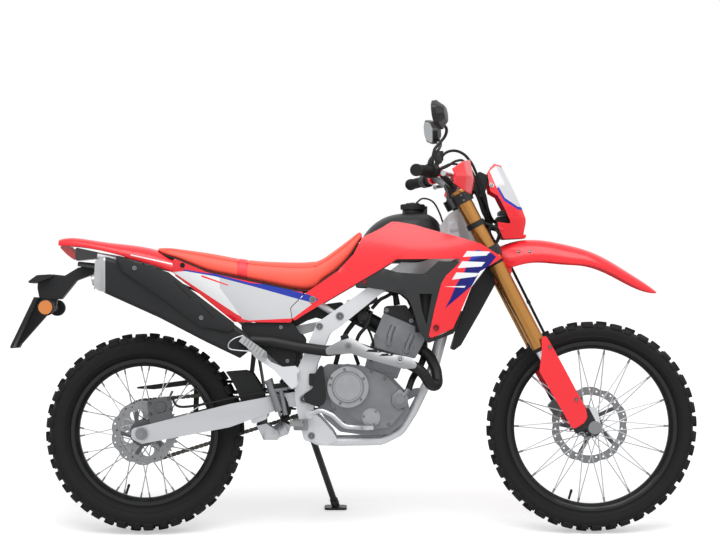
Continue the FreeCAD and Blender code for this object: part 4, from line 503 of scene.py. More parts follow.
# Swingarm: a satin aluminium casting with brushed sides. The wheel's axle has a hexagon nut and a washer,
# and behind it a threaded adjuster with a lock nut sits in each arm's end; the chain guard is black.
ARM_FACE_Y = 138
ADJUSTER_Y = 114
arm_satin = finish("Satin aluminium", "#C3C5C8", 0.4, grain=1.0, height=0.02, stretch=(0.05, 1, 1),
                   mottle=0.04, Metallic=0.9)
chain_guard = [(-60, 400), (60, 300), (60, 347), (200, 396), (330, 440), (430, 470), (430, 520), (-60, 520)]
dressed("swingarm", [arm_satin, black_plastic], [(1, chain_guard, 60, 110)], edge=1.2)
bm = bmesh.new()
for side in (-1, 1):
    turned(bm, REAR_AXLE + LEFT * side * ARM_FACE_Y, LEFT * side,
           [(-1, 3, 20, 24), (2, 15, 14, 6), (14, 20, 8, 16, 0.9)])
    turned(bm, REAR_AXLE + LEFT * side * ADJUSTER_Y, Vector((-1, 0, 0)), [(36, 41, 7, 6), (42, 47, 4, 6)])
    for mark in range(5):
        x = -14 + 7 * mark
        slab(bm, [(x, 346), (x + 1, 346), (x + 1, 339), (x, 339)], *sorted((side * 125.8, side * 126.3)))
make("axle_nuts", bm, [plated_steel], "chassis")

# Rear suspension: a coil-over damper. A steel spring in white enamel winds round the damper's body between
# two collars, and the links under it are satin aluminium. Both enamels are smooth with faint waves.
SPRING_TOP, SPRING_LOW = Vector((505, 0, 660)), Vector((452, 0, 345))
SPRING_RADIUS = 28.5
SPRING_TURNS = 7
SPRING_STARTS, SPRING_ENDS = 69, 226
SOLID_STARTS, SOLID_ENDS, SOLID_RADIUS = 55, 240, 33.5
LINKS_TOP_Z = 352
spring_line = (SPRING_TOP - SPRING_LOW).normalized()


def tube(bm, line, radius, segments=10, index=0):
    """A closed round tube along a line of points, without a twist."""
    rings, across = [], (line[1] - line[0]).orthogonal()
    for spot, point in enumerate(line):
        along = (line[min(spot + 1, len(line) - 1)] - line[max(spot - 1, 0)]).normalized()
        across = (across - along * across.dot(along)).normalized()
        up = along.cross(across)
        turns = [2 * math.pi * i / segments for i in range(segments)]
        rings.append([bm.verts.new(point + across * (radius * math.cos(t)) + up * (radius * math.sin(t)))
                      for t in turns])
    faces = [bm.faces.new(rings[0]), bm.faces.new(rings[-1])]
    for here, there in zip(rings, rings[1:]):
        faces += [bm.faces.new((here[i], here[i - 1], there[i - 1], there[i])) for i in range(segments)]
    for face in faces:
        face.material_index = index


def in_spring(point):
    """Whether a point lies where the plain solid of the spring stands."""
    reach = point - SPRING_LOW
    height = reach.dot(spring_line)
    return SOLID_STARTS < height < SOLID_ENDS and (reach - spring_line * height).length > SOLID_RADIUS


black_enamel = finish("Black enamel", "#1B1C1E", 0.36, grain=6, height=0.04, mottle=0.05)
spring_enamel = finish("White enamel", "#D9D9D6", 0.3, grain=6, height=0.04)
bm = upright("rear_suspension")
bmesh.ops.delete(bm, geom=[f for f in bm.faces if all(in_spring(v.co) for v in f.verts)], context="FACES")
for face in bm.faces:
    face.material_index = 2 if face.calc_center_median().z < LINKS_TOP_Z else 0
turned(bm, SPRING_LOW, spring_line, [(40, 250, 19, 24), (58, 64, 34, 32), (231, 237, 34, 32)])
across = spring_line.orthogonal().normalized()
up = spring_line.cross(across)
coil = []
for step in range(SPRING_TURNS * 24 + 1):
    turn = 2 * math.pi * step / 24
    height = SPRING_STARTS + (SPRING_ENDS - SPRING_STARTS) * step / (SPRING_TURNS * 24)
    coil.append(SPRING_LOW + spring_line * height
                + (across * math.cos(turn) + up * math.sin(turn)) * SPRING_RADIUS)
tube(bm, coil, 5.0, 8, 1)
make("damper_with_spring", bm, [black_enamel, spring_enamel, arm_satin], "chassis",
     ["rear_suspension"])

# Engine: cast aluminium cases and head, with a black cover over the cams. Covers are turned bright on the
# clutch and the filter, and socket-headed bolts run round every joint; hoses join it to the radiator.
CLUTCH = (666, 476)
OIL_FILTER = (741, 378)
FLYWHEEL = (742, 430)
CASE_BOLTS = [(622, 405), (612, 505), (742, 528), (786, 504), (833, 462), (843, 408), (798, 354), (690, 350),
              (652, 362)]
RADIATOR_Z = 670
CANISTER = Vector((918, -92, 652))
UP = Vector((0, 0, 1))


def smooth_line(points, steps=8):
    """A smooth line through points, with that many steps between two of them."""
    points = [Vector(p) for p in points]
    points = [points[0] * 2 - points[1]] + points + [points[-1] * 2 - points[-2]]
    line = []
    for a, b, c, d in zip(points, points[1:], points[2:], points[3:]):
        for step in range(steps):
            t = step / steps
            bend = (2 * a - 5 * b + 4 * c - d) * t ** 2 + (3 * b - a - 3 * c + d) * t ** 3
            line.append((2 * b + (c - a) * t + bend) / 2)
    return line + [points[-2]]


def hose(bm, points, radius, index=0, segments=12):
    """A hose or cable through points."""
    tube(bm, smooth_line(points), radius, segments, index)


def bolt_ring(centre, radius, count, first, size):
    """Places for bolts round a cover, as (x, z, radius) seen from the side."""
    turns = [first + 2 * math.pi * i / count for i in range(count)]
    return [(centre[0] + radius * math.cos(t), centre[1] + radius * math.sin(t), size) for t in turns]


# Sand castings are mid grey, matt and uneven; turned covers are paler and smoother, and the cams' cover is
# wrinkled and near black.
case_casting = finish("Cast aluminium", "#808285", 0.44, grain=1.4, height=0.1, mottle=0.12, Metallic=0.7)
turned_cover = finish("Turned aluminium", "#A3A4A7", 0.34, grain=0.8, height=0.04, mottle=0.08, Metallic=0.85)
cam_black = finish("Black crackle paint", "#242528", 0.6, grain=0.8, height=0.12, mottle=0.08)
fin_alloy = finish("Radiator fins", "#6E7072", 0.5, Metallic=0.8)
dressed("crankcase", [case_casting, turned_cover], [
    (1, circle(*CLUTCH, 67, 40), -160, -121), (1, circle(*OIL_FILTER, 30, 32), -160, -121),
    (1, circle(*FLYWHEEL, 72, 40), 97, 130),
], edge=1.5, smooth=30)
cam_line = [(735, 718), (755, 712), (782, 715), (850, 688), (900, 664), (925, 640), (925, 780), (735, 780)]
dressed("cylinder_head", [case_casting, cam_black], [(1, cam_line, -70, 70)], edge=1.5, smooth=30)
dressed("radiator", [black_enamel], edge=1.0)
bm = bmesh.new()
for line in range(24):
    z = RADIATOR_Z + 140 * line / 24
    slab(bm, [(906.5, z), (933.5, z), (933.5, z + 1.2), (906.5, z + 1.2)], 77, 139)
make("radiator_fins", bm, [fin_alloy], "chassis")
bolts("crankcase_bolts", "crankcase",
      bolt_ring(CLUTCH, 58, 5, 0.5, 4.5) + bolt_ring(OIL_FILTER, 24, 3, 0.9, 3.5)
      + [(x, z, 5) for x, z in CASE_BOLTS], sides=(-1,))
bolts("flywheel_bolts", "crankcase", bolt_ring(FLYWHEEL, 61, 6, 0.3, 4.5), sides=(1,))
bolts("head_bolts", "cylinder_head", [(758, 640, 5), (880, 604, 5), (792, 724, 5), (872, 690, 5)],
      washer=1.4)

# The clutch cover's turned rings, the lugs of the head and the water pump, in the cases' casting.
bm = bmesh.new()
for x, z in ((801, 633), (859, 607)):
    place = surface("cylinder_head", x, z, -1)[0]
    bar_between(bm, place + Vector((-3, 4, -14)), place + Vector((-3, -7, -14)), 10, 20, 0.9)
    bar_between(bm, place + Vector((-3, -1, -14)), place + Vector((3, -1, 12)), 9, 16, 0.9)
for radius, depth in ((52, 5.2), (44, 6.2)):
    ring(bm, Vector((CLUTCH[0], -146, CLUTCH[1])),
         [(0.5, radius), (0.5, radius - 3), (-depth, radius - 2.6), (-depth, radius - 0.6)], 48)
slab(bm, [(706, 524), (728, 512), (720, 500), (700, 512)], -128, -118, ease=2)
slab(bm, [(808, 452), (834, 470), (862, 446), (858, 414), (826, 402), (806, 422)], -134, -110, ease=4)
bar_between(bm, (834, -120, 436), (834, -146, 436), 17, 24, 0.94)
bar_between(bm, (846, -128, 446), (868, -122, 480), 9, 16)
make("engine_fittings", bm, [case_casting], "chassis")

# Two coolant hoses from the pump and the head, the intake's boots, and the thin breathers and cables that
# run up between the spars.
bm = bmesh.new()
for radius, points in (
        (11, [(862, -124, 468), (876, -112, 505), (900, -70, 540), (915, -10, 575), (918, 60, 610),
              (918, 96, 650)]),
        (11, [(868, 34, 700), (892, 52, 756), (908, 84, 800), (918, 92, 822)]),
        (27, [(655, -30, 735), (690, -24, 716), (716, -20, 702)]),
        (24, [(716, -20, 702), (750, -18, 686), (776, -16, 668)]),
        (6, [(700, -70, 548), (688, -84, 590), (700, -88, 640), (728, -86, 676), (742, -70, 720)]),
        (8, [(625, -66, 548), (640, -72, 600), (660, -70, 650), (690, -60, 690)]),
        (4, [(742, -60, 560), (748, -76, 610), (738, -82, 650), (716, -90, 690)]),
        (7, [(600, -84, 664), (680, -76, 740), (760, -62, 786), (850, -46, 842), (960, -30, 930)]),
        (5, [(640, -78, 690), (700, -70, 730), (752, -68, 770), (790, -56, 790), (822, -24, 768)]),
        (4, [(716, -88, 716), (740, -84, 760), (780, -74, 800), (840, -60, 850), (960, -56, 960)]),
        (6, [(744, -64, 730), (770, -72, 758), (796, -70, 772), (860, -52, 812)]),
):
    hose(bm, points, radius)
make("engine_hoses", bm, [black_rubber], "chassis")

# The throttle's cover and injector, the connectors under the tank, and the fuel vapour's canister with its
# lid and two stays, all moulded.
bm = bmesh.new()
for start, end, radius, segments, tip in (
        ((716, -64, 702), (716, -82, 702), 20, 28, 0.94), ((716, -80, 702), (716, -86, 702), 12, 20, 1.0),
        ((700, -70, 724), (736, -70, 736), 9, 14, 1.0), ((826, -30, 742), (820, -26, 782), 11, 18, 0.8)):
    bar_between(bm, start, end, radius, segments, tip)
for outline, low, high, ease in (
        ([(724, 760), (760, 772), (764, 752), (730, 738)], -78, -54, 3),
        ([(640, 640), (664, 650), (672, 628), (650, 616)], -90, -74, 3),
        ([(744, 806), (800, 830), (820, 812), (770, 786)], -48, 20, 4),
        ([(860, 852), (930, 880), (960, 862), (900, 838)], -44, 10, 4)):
    slab(bm, outline, low, high, ease=ease)
turned(bm, CANISTER, UP, [(0, 154, 34, 32), (152, 164, 36, 32, 0.8)])
bar_between(bm, CANISTER + Vector((0, 30, 48)), (940, -10, 700), 6, 10)
bar_between(bm, CANISTER + Vector((0, 30, 128)), (985, -30, 800), 6, 10)
make("throttle_and_canister", bm, [black_plastic], "chassis")

# Exhaust: a black-coated header, a satin aluminium heat shield on two washered bolts, and a muffler in
# black heat paint with a black moulded guard and a bare, bolted end cap.
# Heat paint is dull black and patchy. The shield is satin grey with long brushed streaks, and the silencer's
# end cap is brighter.
heat_paint = finish("Black heat paint", "#161617", 0.5, grain=1.2, height=0.05, mottle=0.1, Metallic=0.2,
                    Specular_IOR_Level=0.4)
shield_satin = finish("Satin shield aluminium", "#98999B", 0.4, grain=1.0, height=0.02,
                      stretch=(0.06, 1, 1), mottle=0.04, Metallic=0.75)
slot_shade = finish("Shade in the slots", "#0D0D0E", 0.9)
end_cap_metal = finish("Bare aluminium", "#B9BBBD", 0.34, grain=1.2, height=0.03, mottle=0.05, Metallic=0.9)
dressed("exhaust_pipe", [heat_paint])
dressed("heat_shield", [shield_satin, slot_shade], [
    (1, [(723, 591), (733, 598), (762, 598), (762, 588)]),
    (1, [(766, 577), (776, 584), (797, 585), (797, 577)]),
], edge=0.6)
bolts("heat_shield_bolts", "heat_shield", [(667, 608, 6), (834, 566, 6)], sides=(-1,),
      washer=2.1)
dressed("silencer", [heat_paint, black_plastic, end_cap_metal, slot_shade], [
    (1, [(-110, 940), (330, 940), (330, 600), (-110, 600)], -190, -170.5),
    (2, [(-160, 960), (-113, 960), (-113, 740), (-160, 740)], -180, -90),
    (3, [(108, 815), (112, 817), (163, 766), (161, 761)], -190, -172),
    (3, [(189, 745), (193, 747), (237, 703), (235, 698)], -190, -172),
], edge=1.0)
bolts("silencer_bolts", "silencer", [(-18, 859, 5), (196, 700, 5)], sides=(-1,), washer=1.4)
bm = bmesh.new()
for x, z in ((-146, 796), (-146, 842), (-140, 884)):
    for y in (-168, -104):
        bolt(bm, (x, y, z), (-1, 0, 0.08), 4)
make("silencer_rivets", bm, [plated_steel], "chassis")

# Tank, covers and shrouds: the tank is black moulded plastic under a knurled filler cap. The shrouds are
# glossy red moulded covers with a navy wedge, its top painted lighter blue as a painted highlight, and plain
# white bars; dark covers lie inside them.
CAP = Vector((878, 0, 1055))
VENT_BLADES = {-1: (-100, -76), 1: (96, 120)}

# Moulded red is glossy and faintly wavy, and films lie smooth on it; unpainted covers are matt and grained.
red_plastic = finish("Red polypropylene, glossy", "#EE1F2B", 0.26, grain=30, height=0.05, Coat_Weight=0.25,
                     Coat_Roughness=0.12, IOR=1.49)
navy_film = finish("Navy graphic film", "#12166F", 0.3, Specular_IOR_Level=0.3)
# The blue film is also laid on the top of the shrouds' navy wedge as a painted highlight.
blue_film_and_painted_highlight = finish("Blue graphic film, also a painted highlight", "#2438A4", 0.3, Specular_IOR_Level=0.35)
white_film = finish("White graphic film", "#E9EAEC", 0.22, Coat_Weight=0.5)
grey_film = finish("Grey graphic film", "#C9CACD", 0.26, Coat_Weight=0.4)
cover_grey = finish("Dark grey moulded plastic", "#28292A", 0.48, grain=0.9, height=0.06, mottle=0.05,
                    Specular_IOR_Level=0.35)
tank_black = finish("Black moulded tank plastic", "#1B1C1E", 0.4, grain=1.1, height=0.06, mottle=0.06,
                    Specular_IOR_Level=0.4)
dressed("fuel_tank", [tank_black], smooth=50)
bm = bmesh.new()
turned(bm, CAP, UP, [(0, 17, 39.5, 56, 0.97), (16, 21, 24, 40, 0.92), (20, 23, 9, 6)])
for turn in range(28):
    angle = 2 * math.pi * turn / 28
    turned(bm, CAP + Vector((39 * math.cos(angle), 39 * math.sin(angle), 0)), UP, [(2, 15, 1.7, 6)])
hose(bm, [(890, 0, 1077), (912, 6, 1092), (944, 10, 1082), (966, 10, 1046), (984, 8, 992)], 3)
make("filler_cap", bm, [black_plastic], "chassis")
navy_wedge = [(1141, 895), (1127, 907), (1051, 880), (1040, 848), (1014, 806), (995, 761), (978, 730),
              (1020, 765), (1068, 807), (1110, 855)]
# The wedge's top is painted in the lighter blue film: a painted highlight where the glossy film catches the
# light.
wedge_painted_highlight = [(1051, 880), (1127, 907), (1078, 918)]
bars = [
    [(1035, 895), (1049, 914), (1122, 912), (1110, 899)],
    [(1018, 859), (1033, 881), (1106, 878), (1094, 864)],
    [(1000, 822), (1014, 845), (1087, 843), (1076, 832)],
    [(974, 800), (1044, 802), (1040, 796)],
]
blue_tail = [(479, 790), (541, 774), (573, 758), (541, 750), (479, 765)]
pale_tail = [(470, 697), (488, 698), (549, 743), (541, 751), (470, 770)]
dressed("shrouds", [red_plastic, navy_film, blue_film_and_painted_highlight, white_film, grey_film],
        [(1, navy_wedge), (2, wedge_painted_highlight), (2, blue_tail), (4, pale_tail)] + [(3, bar) for bar in bars],
        edge=1.0, smooth=50)
dressed("tank_covers", [cover_grey], edge=0.8, smooth=50)
dark_red_enamel = finish("Dark red enamel", "#8E1A22", 0.35)
bolts("shroud_bolts", "shrouds", [(950, 668, 8)], dark_red_enamel, washer=1.3)
bolts("cover_bolts", "tank_covers", [(721, 815, 5)], dark_red_enamel, washer=1.3)
bolts("shroud_rear_bolts", "shrouds", [(552, 759, 6.5)], washer=1.7)
bm = bmesh.new()
for side in (-1, 1):
    near, far = sorted((side * 147, side * 158))
    slab(bm, [(921, 626), (925, 618), (1008, 650), (1006, 662)], near, far, ease=2)
    slab(bm, [(1000, 662), (1012, 652), (1024, 690), (1034, 722), (1026, 722)], near, far, ease=2)
    for blade in range(4):
        x, z = 906 + 7 * blade, 690 + 22 * blade
        slab(bm, [(x, z), (x + 22, z + 14), (x + 22, z + 20), (x, z + 6)], *VENT_BLADES[side], ease=1)
make("shroud_lips", bm, [black_plastic], "chassis")

# Seat: one long foam pad under a red vinyl cover, on a black moulded base. Its sides pull in under a
# crowned top; a strap crosses it, and a sewn seam runs round it where the top meets the sides.
SEAT_STATIONS = [  # x, half width, edge's z and crown's z
    (46, 66, 918, 928), (80, 92, 900, 929), (118, 100, 888, 925), (211, 106, 850, 912),
    (298, 108, 832, 896), (381, 106, 814, 886), (494, 96, 790, 882), (553, 88, 792, 885),
    (584, 84, 820, 895), (626, 80, 850, 924), (670, 74, 896, 957), (700, 66, 944, 980), (711, 58, 957, 976),
]
SEAT_SECTION = [  # shares of the half width and of the rise, from the middle of the underside to the crown
    (0.0, 0.0), (0.55, 0.0), (0.86, 0.02), (0.96, 0.14), (0.965, 0.34), (0.94, 0.52), (0.90, 0.68),
    (0.84, 0.79), (0.82, 0.815), (0.80, 0.845), (0.66, 0.93), (0.44, 0.975), (0.22, 0.995), (0.0, 1.0),
]
STRAP = (307, 340)
SEWN_LINES = STRAP + (560,)


def seat_pinch(x):
    """How deep a sewn line pulls the cover in at a place along the seat."""
    return sum(2.4 * math.exp(-((x - line) / 2.2) ** 2) for line in SEWN_LINES)


# Grained vinyl takes soft, broad highlights; the strap is deeper in tone, and the thread is dark and dull.
vinyl = finish("Red vinyl, grained", "#FF5A46", 0.46, grain=1.6, height=0.12, mottle=0.02)
strap_vinyl = finish("Red vinyl strap", "#EE363E", 0.42, grain=1.6, height=0.1)
thread = finish("Sewing thread", "#C22A2C", 0.7)
bm = bmesh.new()
seat_line = smooth_line([(x, half, edge) for x, half, edge, top in SEAT_STATIONS], 6)
seat_tops = smooth_line([(x, 0, top) for x, half, edge, top in SEAT_STATIONS], 6)
seat_stops = [p.x for p in seat_line if min(abs(p.x - line) for line in SEWN_LINES) > 8]
seat_stops += [line + step for line in SEWN_LINES for step in (-6, -2.5, 0, 2.5, 6)]
rings = []
for x in sorted(seat_stops):
    after = next(i for i, p in enumerate(seat_line) if p.x >= x or i == len(seat_line) - 1) or 1
    share = (x - seat_line[after - 1].x) / (seat_line[after].x - seat_line[after - 1].x)
    place = seat_line[after - 1].lerp(seat_line[after], share)
    crown = seat_tops[after - 1].lerp(seat_tops[after], share)
    half, edge, rise = place.y - 0.8, place.z + 0.5, crown.z - place.z - 1
    half, rise = half - 0.5 * seat_pinch(x), rise - seat_pinch(x)
    if STRAP[0] + 3 < x < STRAP[1] - 3:
        half, rise = half + 0.6, rise + 0.8
    section = SEAT_SECTION + [(-share, up) for share, up in SEAT_SECTION[-2:0:-1]]
    rings.append([bm.verts.new((x, share * half, edge + up * rise)) for share, up in section])
for here, there in zip(rings, rings[1:]):
    strapped = STRAP[0] < (here[0].co.x + there[0].co.x) / 2 < STRAP[1]
    for i in range(len(here)):
        face = bm.faces.new((here[i], here[i - 1], there[i - 1], there[i]))
        face.material_index = 1 if strapped else 0
bm.faces.new(rings[0])
bm.faces.new(rings[-1])
seat_pad = make("seat_pad", bm, [vinyl, strap_vinyl], "chassis", ["seat"], smooth=80)
crowned = seat_pad.modifiers.new("Crown", "SUBSURF")
crowned.levels = crowned.render_levels = 2
bm = bmesh.new()
for side in (-1, 1):
    seam = []
    for place, crown in list(zip(seat_line, seat_tops))[4:-3]:
        rise = crown.z - place.z - 1
        seam.append(Vector((place.x, side * 0.832 * (place.y - 0.8), place.z + 0.80 * rise)))
    tube(bm, seam, 1.2, 6)
make("seat_seams", bm, [thread], "chassis")
bm = bmesh.new()
for side in (-1, 1):
    tube(bm, [Vector((p.x, side * (p.y - 5), p.z - 2)) for p in seat_line[3:-6]], 4, 6)
make("seat_base_rim", bm, [black_plastic], "chassis")

# Side panels and tail: glossy moulded covers. The panels under the seat are pale with a grey field, a blue
# stripe and a red slash, on a red edge; the tail behind the seat is red with a thin white line.
white_field = [(99, 848), (306, 711), (347, 691), (488, 698), (549, 743), (541, 751), (353, 803), (235, 835),
               (160, 852)]
grey_field = [(251, 830), (251, 797), (290, 745), (325, 696), (347, 691), (488, 698), (549, 743), (541, 751),
              (353, 803), (300, 818)]
blue_stripe = [(133, 857), (196, 846), (235, 842), (353, 812), (412, 807), (541, 774), (573, 758), (541, 750),
               (353, 803), (235, 834), (133, 852)]
red_slash = [(192, 838), (278, 807), (278, 803), (192, 832)]
dressed("side_panels", [red_plastic, white_film, grey_film, blue_film_and_painted_highlight],
        [(1, white_field), (2, grey_field), (3, blue_stripe), (0, red_slash)], edge=0.8, smooth=50)
dressed("tail_cowl", [red_plastic, white_film], [(1, [(-40, 906), (110, 873), (110, 869), (-40, 902)])],
        edge=0.8, smooth=50)
bolts("side_panel_bolts", "side_panels", [(130, 870, 5.5)], black_plastic, washer=1.5)

# Tail lamp and turn lamps: clear-coated acrylic lenses with ribs behind them, in black housings, and the
# arm with the bare plate holder under them, which has a raised border, bolts and a red reflector.
BOARD_TOP, BOARD_LOW = Vector((-352, 0, 768)), Vector((-432, 0, 602))
TURN_LAMP = (-308, 733)
# Acrylic lenses are deep in colour with sharp reflections; the housing is glossy black plastic.
red_lens = finish("Red acrylic", "#C4101C", 0.08, Coat_Weight=1.0, Coat_Roughness=0.03,
                  Transmission_Weight=0.25)
amber_lens = finish("Amber acrylic", "#E8831A", 0.1, Coat_Weight=1.0, Coat_Roughness=0.03,
                    Transmission_Weight=0.2)
gloss_black = finish("Glossy black plastic", "#17181A", 0.12, Coat_Weight=0.6)
dressed("tail_light", [gloss_black, red_lens],
        [(1, [(-300, 950), (-226, 950), (-226, 870), (-300, 870)])], edge=0.8)
dressed("rear_indicators", [black_plastic, amber_lens],
        [(1, circle(*TURN_LAMP, 22.5, 32), low, high) for low, high in ((-170, -149.5), (149.5, 170))],
        edge=1.2)
dressed("plate_bracket", [black_plastic], edge=1.0)
down = (BOARD_LOW - BOARD_TOP).normalized()
out = Vector((down.z, 0, -down.x))
bm = bmesh.new()
for low, high, near, far in ((-90, 90, 2, 8), (-90, 90, 172, 178), (-90, -84, 8, 172), (84, 90, 8, 172)):
    corners = [BOARD_TOP + down * along + out * height
               for along, height in ((near, -1), (far, -1), (far, 1.2), (near, 1.2))]
    slab(bm, [(p.x, p.z) for p in corners], low, high)
for y in (-60, 60):
    for along in (24, 158):
        bolt(bm, BOARD_TOP + down * along + Vector((0, y, 0)), out, 5, index=1)
turned(bm, BOARD_TOP + down * 150, out, [(-1, 4, 22, 32, 0.94)], 2)
make("plate_holder_rim", bm, [black_plastic, plated_steel, red_lens], "chassis")

# Splash guard: a thin black moulding on the swingarm that follows the rear tyre's knobs at a running gap,
# between two side walls, with a strap up to the tail.
GUARD_RADIUS = 333
turns = [math.radians(degrees) for degrees in (36.5, 33, 29, 25, 21, 17.5)]
arc = [(GUARD_RADIUS * math.cos(turn), REAR_AXLE.z + GUARD_RADIUS * math.sin(turn)) for turn in turns]
bm = bmesh.new()
for y in (-58, 55):
    slab(bm, arc + [(396, 428), (388, 468), (354, 520), (330, 528)], y, y + 3)
slab(bm, arc + [(x + 3, z + 1) for x, z in reversed(arc)], -56, 56)
slab(bm, [(344, 524), (356, 520), (366, 600), (352, 604)], -30, 30)
make("splash_guard", bm, [black_plastic], "chassis")

# Inner fender, air box and lower covers: grained black polypropylene mouldings. Two screws hold each lower
# cover, and two ribs stiffen it.
dressed("rear_fender", [black_plastic], edge=0.8, smooth=50)
dressed("air_box", [black_plastic], edge=1.0)
bolts("air_box_screws", "air_box", [(449, 669, 4), (470, 560, 4)], washer=1.5)
bm = bmesh.new()
for side in (-1, 1):
    for outline in ([(318, 676), (474, 672), (476, 676), (320, 680)],
                    [(380, 610), (448, 556), (451, 560), (383, 614)]):
        slab(bm, outline, *sorted((side * 105, side * 113.5)))
make("air_box_ribs", bm, [black_plastic], "chassis")

# Pegs and levers: the rider's cast pegs have rows of teeth, and the passenger's folded pegs are ribbed alloy
# on hangers in the frame's enamel, each with a wire loop. The levers are forged aluminium.
PEG_Z = 366
PASSENGER_PEG_Y = 187
CYLINDER_Y = -134
PEDAL_Z = 350
peg_outline = [(310, 622), (340, 650), (420, 590), (400, 560), (380, 560)]
peg_steel = finish("Cast peg steel", "#8F9091", 0.42, grain=1.5, height=0.06, mottle=0.06, Metallic=0.8)
dressed("foot_pegs", [frame_enamel, peg_steel, end_cap_metal, black_plastic], [
    (1, [(478, 330), (545, 330), (545, 380), (478, 380)]),
    (2, peg_outline, 172, 230), (2, peg_outline, -230, -172),
    (3, [(515, 405), (605, 405), (605, 570), (535, 570)], -140, -110),
], edge=1.0)
dressed("foot_levers", [arm_satin], smooth=50)
bm = bmesh.new()
for side in (-1, 1):
    for tooth in range(6):
        y = side * (140 + 11 * tooth)
        for x in (483, 518):
            turned(bm, Vector((x, y, PEG_Z)), UP, [(0, 9, 3.2, 6, 0.5)])
        if tooth % 2:
            slab(bm, [(486, PEG_Z), (516, PEG_Z), (516, PEG_Z + 4), (486, PEG_Z + 4)], y - 1.5, y + 1.5)
make("peg_teeth", bm, [peg_steel], "chassis")
bm = bmesh.new()
for side in (-1, 1):
    for rib in range(7):
        x, z = 396 - 10 * rib, 585 + 7.1 * rib
        slab(bm, [(x - 6, z - 9), (x - 3, z - 11), (x + 8, z + 6), (x + 5, z + 8)],
             *sorted((side * (PASSENGER_PEG_Y + 10), side * (PASSENGER_PEG_Y + 14.4))))
    bar_between(bm, (402, side * 172, 579), (402, side * 203, 579), 7, 16)
make("passenger_peg_ribs", bm, [peg_steel], "chassis")
bm = bmesh.new()
for y in (-PASSENGER_PEG_Y, PASSENGER_PEG_Y):
    hose(bm, [(331, y, 643), (304, y, 634), (286, y, 620), (284, y, 604), (300, y, 597), (354, y, 592)], 2.2,
         segments=8)
make("passenger_wire_loops", bm, [end_cap_metal], "chassis")

# The rear brake's cylinder: a cast body on two bolts beside the frame, with its rod, its rubber-capped
# reservoir, and the hose along the swingarm to the caliper.
bm = bmesh.new()
for x, z, end_x, end_z, radius, segments in ((412, 494, 444, 398, 13, 24), (449, 466, 465, 386, 8, 20),
                                             (444, 398, 448, 382, 5, 12), (408, 500, 412, 492, 15, 24)):
    bar_between(bm, (x, CYLINDER_Y, z), (end_x, CYLINDER_Y, end_z), radius, segments)
slab(bm, [(424, 474), (472, 480), (470, 466), (424, 460)], CYLINDER_Y - 9, CYLINDER_Y + 9, ease=2)
for x, z in ((440, 470), (458, 400)):
    bar_between(bm, (x, -108, z), (x, CYLINDER_Y - 2, z), 5, 12)
make("rear_master_cylinder", bm, [case_casting], "chassis")
bm = bmesh.new()
slab(bm, [(426, 470), (474, 476), (472, 492), (424, 486)], -145, -121, ease=2)
hose(bm, [(448, CYLINDER_Y, 386), (456, -122, 366), (474, -112, 392), (450, -112, 452), (380, -112, 456),
          (300, -111, 441), (200, -110, 420), (120, -106, 412), (94, -92, 440)], 4)
hose(bm, [(448, -130, 490), (470, -120, 520), (500, -116, 552), (505, -116, 590)], 5)
bar_between(bm, (748, 124, 346), (748, 168, 346), 12, 20)
make("rubber_fittings", bm, [black_rubber], "chassis")
bm = bmesh.new()
for tooth in range(5):
    x = 716 + 7 * tooth
    for y in (-170, -161, -152):
        turned(bm, Vector((x, y, PEDAL_Z)), UP, [(0, 6, 2.4, 6, 0.5)])
make("pedal_teeth", bm, [peg_steel], "chassis")

# Side stand: a steel tube in black enamel with a flat pressed foot. It turns on a pin between the cradle's
# two lugs, and bears the machine's lean.
dressed("side_stand", [black_enamel], smooth=40)

# Fork: gold anodised outer tubes with turned rings, rubber seals under them, chromed inner tubes, and black
# cast feet that clamp the axle. Red guards cover the inner tubes, and black clamps hold the legs.
FORK_FOOT = Vector((1574, 0, 0))
RAKE = math.radians(27.5)
FORK_UP = Vector((-math.sin(RAKE), 0, math.cos(RAKE)))
FORK_FORWARD = Vector((math.cos(RAKE), 0, math.sin(RAKE)))
LEG_FORWARD = 25
LEG_Y = 98
AXLE_UP = 355.7
FORK_TOP_Z = 1098
SLIDER_END_Y = 118


def on_fork(side, up, forward=LEG_FORWARD, across=LEG_Y):
    """A point by its height along the steering axis and its place ahead of it, at first a leg's middle."""
    return FORK_FOOT + FORK_UP * up + FORK_FORWARD * forward + Vector((0, side * across, 0))


def fork_ring(bm, z, radius, height, index):
    """A turned ring round both fork legs at a height above the floor."""
    for side in (-1, 1):
        turned(bm, on_fork(side, z / math.cos(RAKE)), FORK_UP, [(-height / 2, height / 2, radius, 40)], index)


# Anodised gold has a warm, clear shine, chrome mirrors what is near it, and the cast feet are dull black.
gold = finish("Gold anodised aluminium", "#B98448", 0.26, mottle=0.02, Metallic=0.85)
chrome = finish("Chromed steel", "#D4D6D9", 0.1, Metallic=1.0)
foot_black = finish("Black cast aluminium", "#212224", 0.42, grain=1.6, height=0.06, mottle=0.06,
                    Metallic=0.3)
dressed("fork_tubes", [gold], smooth=40)
foot_corners = [on_fork(0, AXLE_UP + up, forward)
                for forward, up in ((-70, -50), (75, -50), (75, 81), (-70, 81))]
foot_line = [(corner.x, corner.z) for corner in foot_corners]
dressed("fork_sliders", [chrome, foot_black], [(1, foot_line, -135, -70), (1, foot_line, 70, 135)], edge=0.8,
        smooth=40)
dressed("fork_guards", [red_plastic], edge=1.0, smooth=40)
bm = bmesh.new()
for z, radius, height, index in ((588, 27.4, 12, 1), (604, 27.2, 8, 0), (640, 26.6, 5, 0), (866, 27.0, 10, 1),
                                 (852, 26.7, 4, 0), (1046, 26.8, 6, 0)):
    fork_ring(bm, z, radius, height, index)
